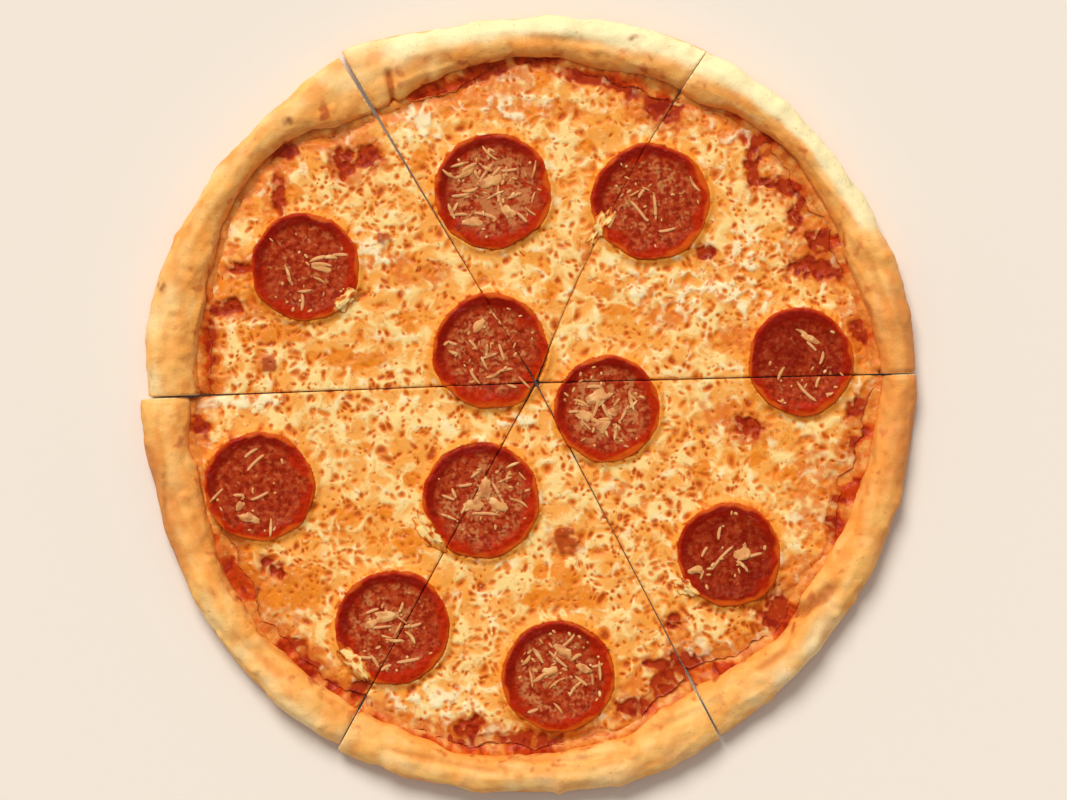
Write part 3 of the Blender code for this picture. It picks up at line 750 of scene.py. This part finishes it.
def disc_distance(points):
    """How far each point lies outside the nearest pepperoni disc."""
    return np.min([np.linalg.norm(points[:, :2] - m, axis=1) - r for m, r in DISCS.values()], axis=0)


def ragged_edge(points):
    """How far the uneven outline of a disc stands outside its round one."""
    level = points * (1, 1, 0) + (0, 0, DISC_UNDERSIDE)
    return (0.8 * noise(level, 11 * MM, 59) + 0.35 * noise(level, 4 * MM, 60)) * MM


def cheese_material():
    """Melted mozzarella: cream to yellow, oily, with browned pits and red sauce showing through."""
    mozzarella, tree, shader = new_material("melted_mozzarella")
    base = painted(tree, "#F9A84C", (
        ("#F6982C", field(tree, "oil", 0.0, 1.0, 0.75)),
        ("#FFDA8C", field(tree, "strand", 0.25, 0.8, 0.9)),
        ("#E06A18", field(tree, "blush", 0.0, 1.0, 0.75)),
        ("#FFEAB8", field(tree, "cream", 0.0, 1.0, 0.85)),
        ("#EE8416", field(tree, "spot", 0.0, 1.0, 0.9)),
        ("#EC7E18", field(tree, "pit", 0.0, 0.45, 0.9)),
        ("#B44004", field(tree, "pit", 0.4, 0.95, 0.9)),
        ("#FFF4D4", grain(tree, 1.4 * MM, 0.62, 0.74, 0.3)),
        ("#D0601A", grain(tree, 2.0 * MM, 0.58, 0.68, 0.5)),
        # Red-orange where the cheese is thin over sauce, and painted shade along its outer edge
        ("#C8540E", field(tree, "thin", 0.0, 1.0, 0.8)),
        ("#AE2C02", field(tree, "bare", 0.2, 0.8, 0.9)),
        ("#8C1400", field(tree, "clot", 0.0, 1.0, 0.75)),
        ("#B0400A", field(tree, "blister", 0.0, 1.0, 0.9)),
        # Brown along the cuts: painted shade where the cheese dips into the cut
        ("#B4642A", field(tree, "seam", 0.0, 1.0, 0.7)),
    ))
    tree.links.new(base, shader.inputs["Base Color"])
    vary_roughness(tree, shader, 3 * MM, 0.32, 0.5)
    shader.inputs["IOR"].default_value = 1.45
    shader.inputs["Specular IOR Level"].default_value = 0.16
    fibres = grain(tree, 0.9 * MM, 0.3, 0.7, 1.0, 4.0)
    emboss(tree, shader, fibres, 0.2, 0.25 * MM)
    let_light_in(shader, 0.1, (1.4 * MM, 0.8 * MM, 0.3 * MM))
    return mozzarella


def make_cheese(number, mozzarella):
    """The cheese of one slice: pits, strands and lumps, a thin edge, and a rise round each disc."""
    node = f"cheese_{number}"
    cheese = fine_copy(node, f"melted_cheese_{number}", CHEESE_GRAIN)
    thin_out(cheese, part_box(node)[0].z, FLAT_KEPT)
    points = read(cheese.data.vertices, "co")
    normals = read(cheese.data.vertices, "normal")
    away, across, shift = cut_distance(points)
    clear = disc_distance(points) - ragged_edge(points)
    edge = wall_distance(points, normals, away)

    warped = points.copy()
    warped[:, 0] += 2.2 * MM * noise(points, 7 * MM, 21)
    warped[:, 1] += 2.2 * MM * noise(points, 7 * MM, 22)
    freckled = places_share(points, FRECKLED_PLACES, 49)
    pit = np.zeros(len(points))
    for seed, (spacing, least, most, many) in enumerate(HOLES, 23):
        distance, own = spots(warped, spacing, seed)
        reach = least + (most - least) * (7.3 * own % 1)
        pit = np.maximum(pit, smooth(1 - distance / reach) * (own < many * (0.6 + 0.6 * freckled)))
    strands = 0.52 - abs(noise(warped, 9 * MM, 26)) - 0.5 * abs(noise(warped, 4 * MM, 29))
    strands -= 0.35 * abs(noise(warped, 2.2 * MM, 30))
    lumps = 0.5 * noise(points, 12 * MM, 27) + 0.35 * noise(points, 5 * MM, 28)
    crossed = smooth(strands + 0.5 * noise(points, 2.6 * MM, 52), 0.05, 0.42)
    bare = places_share(points, BARE_PLACES, 31, 0.15) * (1 - 0.5 * crossed)
    over_sauce_and_edge_shade = places_share(points, BARE_PLACES, 31, 0.9) * (1 - 0.65 * crossed)
    # Within 1.8 mm of its edge the cheese is darkened too: partly thin cheese over sauce, partly painted
    # shade that blends into the shadow under the edge
    over_sauce_and_edge_shade = np.maximum(over_sauce_and_edge_shade, 0.75 * smooth(1.8 * MM - edge, 0, 1.8 * MM))
    blush = places_share(points, BLUSH_PLACES, 33)
    cream = places_share(points, CREAM_PLACES, 35) * smooth(0.45 + noise(points, 4 * MM, 50) + strands)
    oil = places_share(points, OIL_PLACES, 37)
    blister = places_share(points, BLISTER_PLACES, 39)
    thin = smooth(8 * MM - edge + 5 * MM * noise(points, 7 * MM, 41), 0, 7 * MM)
    blush = np.maximum(blush, thin * (1.1 + 0.6 * noise(points, 5 * MM, 42)))

    rise = 0.4 * strands + 0.35 * lumps + 0.45 * cream - 0.6 * pit * (1 - 0.5 * cream)
    rise -= 1.3 * bare
    rise -= 0.3 * blush
    rise += 0.5 * blister
    rise += CLIMB * np.exp(-((clear / CLIMB_WIDTH) ** 2))
    rise -= 0.35 * smooth(1.2 * MM - away, 0, 1.2 * MM)
    top = smooth(normals[:, 2], 0.1, 0.7)
    lifted = points[:, 2] + top * rise * MM
    lifted -= top * EDGE_THINNED * smooth(EDGE_WIDTH - edge, 0, EDGE_WIDTH)
    lifted = np.maximum(lifted, np.minimum(points[:, 2], SAUCE_TOP + SKIN))
    points[:, 2] = np.where(clear < -0.5 * MM, np.minimum(lifted, DISC_SEAT), lifted)
    crept = 1.2 + 2.2 * noise(points, 8 * MM, 53) + 1.0 * noise(points, 3 * MM, 54)
    crept = np.maximum(crept, 0) * MM * smooth(6 * MM - edge, 0, 6 * MM) * (1 - 0.8 * bare)
    flare = EDGE_FLARE * smooth(6.6 * MM - points[:, 2], 0, 1.5 * MM) * smooth(1.2 * MM - edge, 0, 1.2 * MM)
    outward = points[:, :2] / np.linalg.norm(points[:, :2], axis=1)[:, None]
    points[:, :2] += outward * (crept + flare)[:, None]
    points -= shift[:, None] * across
    move_to(cheese, points)

    halo = np.exp(-((np.maximum(clear, 0) / (2.6 * MM)) ** 2)) * (0.75 + 0.7 * noise(points, 6 * MM, 43))
    deep_yellow = smooth(noise(points, 16 * MM, 44) + 0.5 * noise(points, 7 * MM, 51), 0.0, 0.9)
    store(cheese, "pit", pit * (0.8 + 0.5 * noise(points, 10 * MM, 45)) * (1 - 0.3 * cream))
    store(cheese, "bare", bare)
    store(cheese, "thin", over_sauce_and_edge_shade)
    store(cheese, "clot", bare * clots(points))
    store(cheese, "blush", blush * (0.75 + 0.9 * noise(points, 2.8 * MM, 46)))
    pale = 0.5 + strands + 0.4 * noise(points, 11 * MM, 48)
    store(cheese, "strand", pale - 0.6 * halo - 0.3 * deep_yellow)
    store(cheese, "cream", np.maximum(cream, 0.6 * smooth(noise(points, 6 * MM, 47) + strands, 0.3, 0.9)))
    store(cheese, "oil", np.maximum(0.7 * deep_yellow, halo))
    store(cheese, "spot", oil)
    store(cheese, "blister", blister)
    # Painted shade along each cut
    store(cheese, "seam", smooth(0.8 * MM - away, 0, 0.8 * MM))
    cheese.data.materials.append(mozzarella)
    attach(cheese, "root")
    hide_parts(node)


melted_mozzarella = cheese_material()
for number in SLICES:
    make_cheese(number, melted_mozzarella)

# The pepperoni
# Slices of cured pork and beef sausage, which shrank and cupped in the oven and let out red fat. Shreds
# of hard cheese were thrown on them first and baked on, so they are one with the slice.
DISC_GRAIN = 0.32 * MM
DISC_THICKNESS = 1.6 * MM
LIP_RISE = 0.7 * MM
CUP_RISE = 0.6 * MM

# How much fine cheese dust lies on each disc
POWDER = {
    "1": 0.6, "2": 0.1, "3": -0.2, "4": 0.15, "5": 0.4, "6": -0.5,
    "7": -0.6, "8": 0.25, "9": 0.1, "10": 0.2, "11": -0.6,
}

# Pieces that baked darker than the others, and by how much
DARKER = {
    "pepperoni_3_on_slice_3": 0.15,
    "pepperoni_6_on_slice_1": 0.7,
    "pepperoni_7_on_slice_4": 0.15,
    "pepperoni_11_on_slice_6": 0.65,
}


def pepperoni_material():
    """Cured sausage: dark red, greasy and mottled with fat, with baked shreds of hard cheese."""
    sausage, tree, shader = new_material("cured_pepperoni")
    base = painted(tree, "#B23C16", (
        ("#861800", grain(tree, 3.0 * MM, 0.42, 0.58, 0.85)),
        ("#C65E30", grain(tree, 2.2 * MM, 0.5, 0.66, 0.75)),
        ("#BC2600", field(tree, "ring", 0.0, 0.8, 0.88)),
        ("#961200", grain(tree, 2.4 * MM, 0.5, 0.62, 0.5)),
        # Dark red: pieces that baked darker, and painted shade inside the lip on the side nearest the lamp
        ("#780A00", field(tree, "dark", 0.0, 1.0, 0.85)),
        # Orange lip, a little wider on the side away from the lamp: partly a painted highlight
        ("#D85A10", field(tree, "lip", 0.0, 1.0, 0.8)),
        ("#C87C46", field(tree, "powder", 0.0, 1.0, 0.8)),
        ("#E4A468", field(tree, "shred", 0.15, 0.75, 0.95)),
    ))
    tree.links.new(base, shader.inputs["Base Color"])
    vary_roughness(tree, shader, 2.5 * MM, 0.3, 0.5)
    shader.inputs["IOR"].default_value = 1.4
    shader.inputs["Specular IOR Level"].default_value = 0.09
    meat = grain(tree, 1.0 * MM, 0.3, 0.7, 1.0, 4.0)
    emboss(tree, shader, meat, 0.3, 0.3 * MM)
    return sausage


def make_pepperoni(node, sausage):
    """One piece of a disc, with its cupped lip, uneven outline, baked tones, painted shade inside its lip
    on the side nearest the lamp, and the shreds fused to it.
    """
    disc = node.split("_")[1]
    middle, radius = DISCS[disc]
    piece = fine_copy(node, f"cured_{node}", DISC_GRAIN)
    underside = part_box(node)[0].z
    thin_out(piece, underside, FLAT_KEPT)
    points = read(piece.data.vertices, "co")
    normals = read(piece.data.vertices, "normal")
    away, across, shift = cut_distance(points)
    from_middle = points[:, :2] - middle
    distance = np.linalg.norm(from_middle, axis=1)
    reach = distance / radius
    lip = np.interp(reach, (0.84, 0.95, 1.0), (0.0, 1.0, 0.45))
    own_top = underside + DISC_THICKNESS + LIP_RISE * (0.15 + lip)
    shred = smooth(points[:, 2] - own_top, 0.1 * MM, 0.35 * MM) * (reach < 0.84)
    top = smooth(normals[:, 2], 0.2, 0.8) * smooth(away, 0, 1.2 * MM)
    rise = 0.16 * noise(points, 1.8 * MM, 51) + 0.22 * noise(points, 4.5 * MM, 52)
    rise += 0.25 * noise(points, 13 * MM, 53) - 0.15 * smooth(0.9 * MM - away, 0, 0.9 * MM)
    rise += CUP_RISE / MM * smooth(reach, 0.55, 0.95) * (1 + 0.9 * noise(points, 16 * MM, 58))
    rise -= LIP_RISE / MM * 0.9 * lip + 0.3 * smooth(reach, 0.95, 1.0)
    points[:, 2] += top * rise * MM
    points[:, :2] += (ragged_edge(points) * smooth(reach, 0.7, 1.0) / distance)[:, None] * from_middle
    points -= shift[:, None] * across
    move_to(piece, points)

    dust = noise(points, 3.5 * MM, 54) + 0.9 * noise(points, 1.3 * MM, 55)
    powder = smooth(dust + POWDER[disc], 0.1, 1.0)
    # The side of each disc nearest the lamp, where the inner slope of its lip lies in shade
    shaded = (from_middle @ np.array((-0.5, 0.85))) / distance
    store(piece, "powder", powder * smooth(0.88 - reach, 0, 0.3))
    ring = smooth(reach + 0.14 * noise(points, 8 * MM, 56) + 0.08 * noise(points, 2.5 * MM, 61), 0.74, 0.9)
    store(piece, "ring", ring)
    # Painted shade: a dark band inside the lip on the side nearest the lamp
    painted_edge_shade = smooth(reach, 0.7, 0.85) * smooth(0.98 - reach, 0, 0.08) * smooth(shaded, -0.6, 0.9)
    baked = DARKER.get(node, 0) * (0.8 + 0.5 * noise(points, 9 * MM, 62)) * smooth(1.06 - reach, 0, 0.2)
    store(piece, "dark", np.maximum(painted_edge_shade, baked))
    # The orange lip reaches a little farther in on the side away from the lamp: a slight painted highlight
    # on the lit inner slope there
    store(piece, "lip", smooth(reach + 0.09 * noise(points, 6 * MM, 57) - 0.025 * shaded, 0.9, 1.0))
    store(piece, "shred", shred)
    piece.data.materials.append(sausage)
    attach(piece, "root")
    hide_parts(node)


cured_sausage = pepperoni_material()
for node in sorted(frame["nodes"]):
    if node.startswith("pepperoni"):
        make_pepperoni(node, cured_sausage)

# The grated hard cheese
# Fine shreds, crumbs and broad flakes of dry hard cheese, thrown on by hand after the pepperoni. They baked
# onto it and turned peach and tan.

# Half length before it is stretched, half width and half height
SHRED_SIZE = (1.0 * MM, 0.75 * MM, 0.35 * MM)
CRUMB_SIZE = (0.7 * MM, 0.6 * MM, 0.25 * MM)
FLAKE_SIZE = (MM, MM, 0.45 * MM)

# How much longer than that a shred or a crumb may be, from least to most
SHRED_STRETCH = (1.8, 4.2)
CRUMB_STRETCH = (0.6, 2.0)

# How many loose shreds and crumbs lie on each disc, and about where: off its middle, and spread, as shares
SPRINKLED = {
    "1": (14, 40, 0.0, 0.05, 0.42), "2": (3, 22, 0.05, -0.1, 0.45), "3": (5, 18, 0.1, -0.2, 0.4),
    "4": (6, 24, 0.0, 0.1, 0.4), "5": (11, 40, -0.1, 0.05, 0.42), "6": (2, 12, 0.1, -0.4, 0.4),
    "7": (2, 14, -0.1, -0.35, 0.35), "8": (7, 26, 0.1, 0.05, 0.4), "9": (6, 22, 0.05, -0.05, 0.35),
    "10": (12, 36, 0.1, 0.2, 0.42), "11": (4, 16, 0.1, -0.1, 0.35),
}

# Broad flakes among the shreds: place, half length and half width in millimetres, and turn in degrees
FLAKES = (
    (-17.0, -33.0, 2.6, 4.6, 0),
    (-21.0, -39.0, 4.0, 2.4, 10),
    (-12.0, -39.5, 4.0, 2.2, -20),
    (-57.0, -83.5, 4.4, 2.2, 8),
    (-62.0, -86.0, 2.6, 1.6, 30),
    (27.0, 3.0, 4.6, 3.0, 20),
    (22.0, -4.0, 3.4, 2.2, -30),
    (29.0, -8.0, 3.6, 2.4, 40),
    (33.0, -3.0, 2.4, 1.8, 0),
    (-110.0, -44.5, 3.6, 1.8, -15),
    (-113.5, -39.5, 2.2, 1.4, 50),
    (-81.5, 54.0, 3.8, 1.6, -12),
    (111.0, 26.0, 3.8, 1.4, -25),
    (84.5, -58.5, 3.0, 2.4, 0),
    (65.5, -65.0, 3.0, 1.5, 20),
    (-15.0, 88.0, 4.6, 2.2, 25),
    (-8.0, 76.0, 3.4, 2.0, -40),
    (-24.0, 92.0, 3.6, 1.6, 30),
    (-22.0, 72.0, 4.0, 1.7, -5),
    (14.0, -97.0, 4.2, 1.8, -35),
    (22.0, -104.0, 4.0, 1.6, -30),
    (8.0, -105.0, 2.6, 1.8, 20),
    (-20.0, 31.0, 3.4, 1.8, 40),
)


def seed_shape(segments, rings, size):
    """Corners and faces of a small rounded grain that lies along X, modelled once and then thrown away."""
    bpy.ops.object.select_all(action="DESELECT")
    bpy.ops.mesh.primitive_uv_sphere_add(segments=segments, ring_count=rings, radius=1)
    grain_of_cheese = bpy.context.object
    bpy.ops.object.mode_set(mode="EDIT")
    bpy.ops.transform.rotate(value=math.pi / 2, orient_axis="Y", center_override=(0, 0, 0))
    bpy.ops.transform.resize(value=size, center_override=(0, 0, 0))
    bpy.ops.object.mode_set(mode="OBJECT")
    corners = read(grain_of_cheese.data.vertices, "co")
    faces = [tuple(face.vertices) for face in grain_of_cheese.data.polygons]
    bpy.data.objects.remove(grain_of_cheese)
    return corners, faces


def tops_near(places, reach, names):
    """Tops of finished pieces near some places, as a tree of points in plan and their heights."""
    tops = []
    for piece in bpy.data.objects:
        if piece.name.startswith(names):
            points = read(piece.data.vertices, "co")
            points = points[read(piece.data.vertices, "normal")[:, 2] > 0.5]
            apart = np.min([np.linalg.norm(points[:, :2] - place, axis=1) for place in places], axis=0)
            tops.append(points[apart < reach])
    tops = np.concatenate(tops)
    tree = kdtree.KDTree(len(tops))
    for index, (x, y, z) in enumerate(tops):
        tree.insert((x, y, 0), index)
    tree.balance()
    return tree, tops[:, 2]


def turned(plan, angle):
    """Points in plan, turned about the origin by an angle in radians."""
    cosine, sine = math.cos(angle), math.sin(angle)
    return plan @ np.array(((cosine, sine), (-sine, cosine)))


def lay(corners, tree, heights, lift):
    """Lays each corner of a shred on the highest of the four points nearest to it, and a little above."""
    under = [tree.find_n((x, y, 0), 4) for x, y, z in corners]
    ground = np.array([max(heights[index] for point, index, apart in found) for found in under])
    corners[:, 2] += ground + lift
    return corners


def hard_cheese_material():
    """Dry grated hard cheese, baked: peach to tan and dull, with darker patches."""
    hard, tree, shader = new_material("baked_hard_cheese")
    base = painted(tree, "#E09A56", (
        ("#F0BE7A", grain(tree, 5 * MM, 0.5, 0.64, 0.9)),
        ("#C4703A", grain(tree, 3.5 * MM, 0.5, 0.62, 0.8)),
    ))
    tree.links.new(base, shader.inputs["Base Color"])
    shader.inputs["Roughness"].default_value = 0.55
    shader.inputs["Specular IOR Level"].default_value = 0.3
    return hard


def make_sprinkle(name, shape, stretch, count_at, lift, material, seed):
    """One mesh of all the shreds or crumbs, each bent, turned and laid on its disc."""
    draw = np.random.default_rng(seed)
    corners, faces = shape
    tree, heights = DISC_TOPS
    all_corners, all_faces = [], []
    for disc, (middle, radius) in DISCS.items():
        _, _, off_x, off_y, spread = SPRINKLED[disc]
        for _ in range(SPRINKLED[disc][count_at]):
            copy = corners.copy()
            copy[:, 0] *= draw.uniform(*stretch)
            copy[:, 1] += draw.uniform(-0.07, 0.07) / MM * copy[:, 0] ** 2
            copy[:, 1] *= draw.uniform(0.6, 1.3)
            copy[:, 2] *= draw.uniform(0.7, 1.2)
            copy[:, :2] = turned(copy[:, :2], draw.uniform(0, math.pi))
            place = np.clip(draw.normal(0, spread, 2) + (off_x, off_y), -0.85, 0.85) * radius
            place *= min(1, 0.8 * radius / (np.linalg.norm(place) + 0.001 * MM))
            copy[:, :2] += middle + place
            start = len(all_corners) * len(corners)
            all_corners.append(lay(copy, tree, heights, lift))
            all_faces += [tuple(start + corner for corner in face) for face in faces]
    finish_loose(name, all_corners, all_faces, material)


def finish_loose(name, all_corners, all_faces, material):
    """One piece from the corners and faces of many grains."""
    mesh = bpy.data.meshes.new(name)
    mesh.from_pydata(np.concatenate(all_corners).tolist(), [], all_faces)
    piece = bpy.data.objects.new(name, mesh)
    bpy.context.scene.collection.objects.link(piece)
    mesh.polygons.foreach_set("use_smooth", [True] * len(mesh.polygons))
    mesh.materials.append(material)
    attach(piece, "root")


def make_flakes(name, places, shape, tops, material):
    """Broad thin flakes or tongues with ragged outlines, each laid where the photograph shows one."""
    corners, faces = shape
    tree, heights = tops
    all_corners, all_faces = [], []
    for x, y, half_long, half_wide, turn in places:
        copy = corners * (half_long, half_wide, 1)
        copy[:, :2] = turned(copy[:, :2], math.radians(turn)) + (x * MM, y * MM)
        bulge = 1 + 0.5 * noise(copy, 3 * MM, 73) + 0.3 * noise(copy, 1.2 * MM, 74)
        copy[:, :2] += (copy[:, :2] - (x * MM, y * MM)) * (bulge - 1)[:, None]
        copy[:, 2] *= 1 + 0.6 * noise(copy, 1.6 * MM, 75)
        start = len(all_corners) * len(corners)
        all_corners.append(lay(copy, tree, heights, 0.05 * MM))
        all_faces += [tuple(start + corner for corner in face) for face in faces]
    finish_loose(name, all_corners, all_faces, material)


hard_cheese = hard_cheese_material()
DISC_TOPS = tops_near([middle for middle, radius in DISCS.values()], 30 * MM, "cured_pepperoni")
shred_shape = seed_shape(6, 8, SHRED_SIZE)
crumb_shape = seed_shape(6, 4, CRUMB_SIZE)
flake_shape = seed_shape(24, 10, FLAKE_SIZE)
make_sprinkle("hard_cheese_shreds", shred_shape, SHRED_STRETCH, 0, 0.1 * MM, hard_cheese, 71)
make_sprinkle("hard_cheese_crumbs", crumb_shape, CRUMB_STRETCH, 1, 0.04 * MM, hard_cheese, 72)
make_flakes("hard_cheese_flakes", FLAKES, flake_shape, DISC_TOPS, hard_cheese)

# The cheese over the edges of the discs
# Tongues of the same melted mozzarella that bubbled up and ran over the edges of some discs, and stuck
# there, so that the discs look set into the cheese.
TONGUE_SIZE = (MM, MM, 0.6 * MM)

# Place, half length and half width in millimetres, and turn in degrees
LAPS = (
    (28.5, 70.5, 8.5, 2.6, 56),
    (-68.5, -101.5, 8.0, 3.4, -50),
    (-39.5, -50.0, 8.0, 3.4, -52),
    (-72.0, 41.5, 6.0, 3.0, 44),
    (62.0, -72.0, 5.0, 2.6, -40),
)
lap_places = [(x * MM, y * MM) for x, y, half_long, half_wide, turn in LAPS]
lap_grounds = tops_near(lap_places, 14 * MM, ("cured_pepperoni", "melted_cheese"))
tongue_shape = seed_shape(60, 20, TONGUE_SIZE)
make_flakes("melted_tongues", LAPS, tongue_shape, lap_grounds, melted_mozzarella)
tongues = bpy.data.objects["melted_tongues"]
thick = np.tile(smooth(tongue_shape[0][:, 2] / MM, 0.05, 0.5), len(LAPS))
tongue_points = read(tongues.data.vertices, "co")
store(tongues, "strand", 0.8 * thick + 0.6 * noise(tongue_points, 3 * MM, 81))
store(tongues, "oil", 1 - thick)
store(tongues, "blush", 1.2 - 1.6 * thick + 0.5 * noise(tongue_points, 2 * MM, 82))
store(tongues, "pit", smooth(noise(tongue_points, 2.2 * MM, 83), 0.1, 0.6))

# The table
# A plain pale cream sheet, as in a studio, that the pizza lies on. Its shadows are soft and short.
TABLE_SIZE = 3.0


def make_table():
    """The sheet that the pizza lies on, which isn't part of it."""
    bpy.ops.object.select_all(action="DESELECT")
    bpy.ops.mesh.primitive_plane_add(size=TABLE_SIZE, location=(0, 0, 0))
    table = bpy.context.object
    table.name = "table"
    cream, _, shader = new_material("matt_cream_paper")
    shader.inputs["Base Color"].default_value = colour("#F3E6D6")
    shader.inputs["Roughness"].default_value = 0.9
    shader.inputs["Specular IOR Level"].default_value = 0.1
    table.data.materials.append(cream)


make_table()

# Light and camera
# A broad soft lamp stands beyond the top of the picture, and a pale room fills the shadows. The camera
# looks straight down from high above, a little off the middle, as the photograph does.
CAMERA_HEIGHT = 1.5
VIEW_WIDTH = 0.421
VIEW_MIDDLE = (2.0 * MM, 2.0 * MM)
SENSOR = 36.0
LAMP_FROM = (-0.25, 0.75, 0.85)
LAMP_POWER = 2.73
LAMP_SPREAD = math.radians(28)
ROOM_LIGHT = 0.37
ROOM_MIRRORED = 0.12  # black cloths round a set keep a pale room out of wet surfaces

bpy.ops.object.light_add(type="SUN", location=LAMP_FROM)
lamp = bpy.context.object
lamp.name = "soft_lamp"
lamp.data.energy = LAMP_POWER
lamp.data.angle = LAMP_SPREAD
lamp.rotation_euler = (-Vector(LAMP_FROM)).to_track_quat("-Z", "Y").to_euler()
room = bpy.data.worlds.new("pale_room")
bpy.context.scene.world = room
room.use_nodes = True
seen = add(room.node_tree, "ShaderNodeLightPath", {}).outputs["Is Glossy Ray"]
dimmed = {"Value": seen, "To Min": ROOM_LIGHT, "To Max": ROOM_MIRRORED}
room.node_tree.links.new(
    add(room.node_tree, "ShaderNodeMapRange", dimmed).outputs[0],
    room.node_tree.nodes["Background"].inputs["Strength"],
)
room.node_tree.nodes["Background"].inputs["Color"].default_value = colour("#FFFFFF")

bpy.ops.object.camera_add(location=(*VIEW_MIDDLE, CAMERA_HEIGHT), rotation=(0, 0, 0))
camera = bpy.context.object
camera.name = "camera"
camera.data.sensor_width = SENSOR
camera.data.lens = SENSOR * (CAMERA_HEIGHT - CHEESE_TOP) / VIEW_WIDTH
bpy.context.scene.camera = camera
bpy.context.scene.view_settings.view_transform = "Standard"
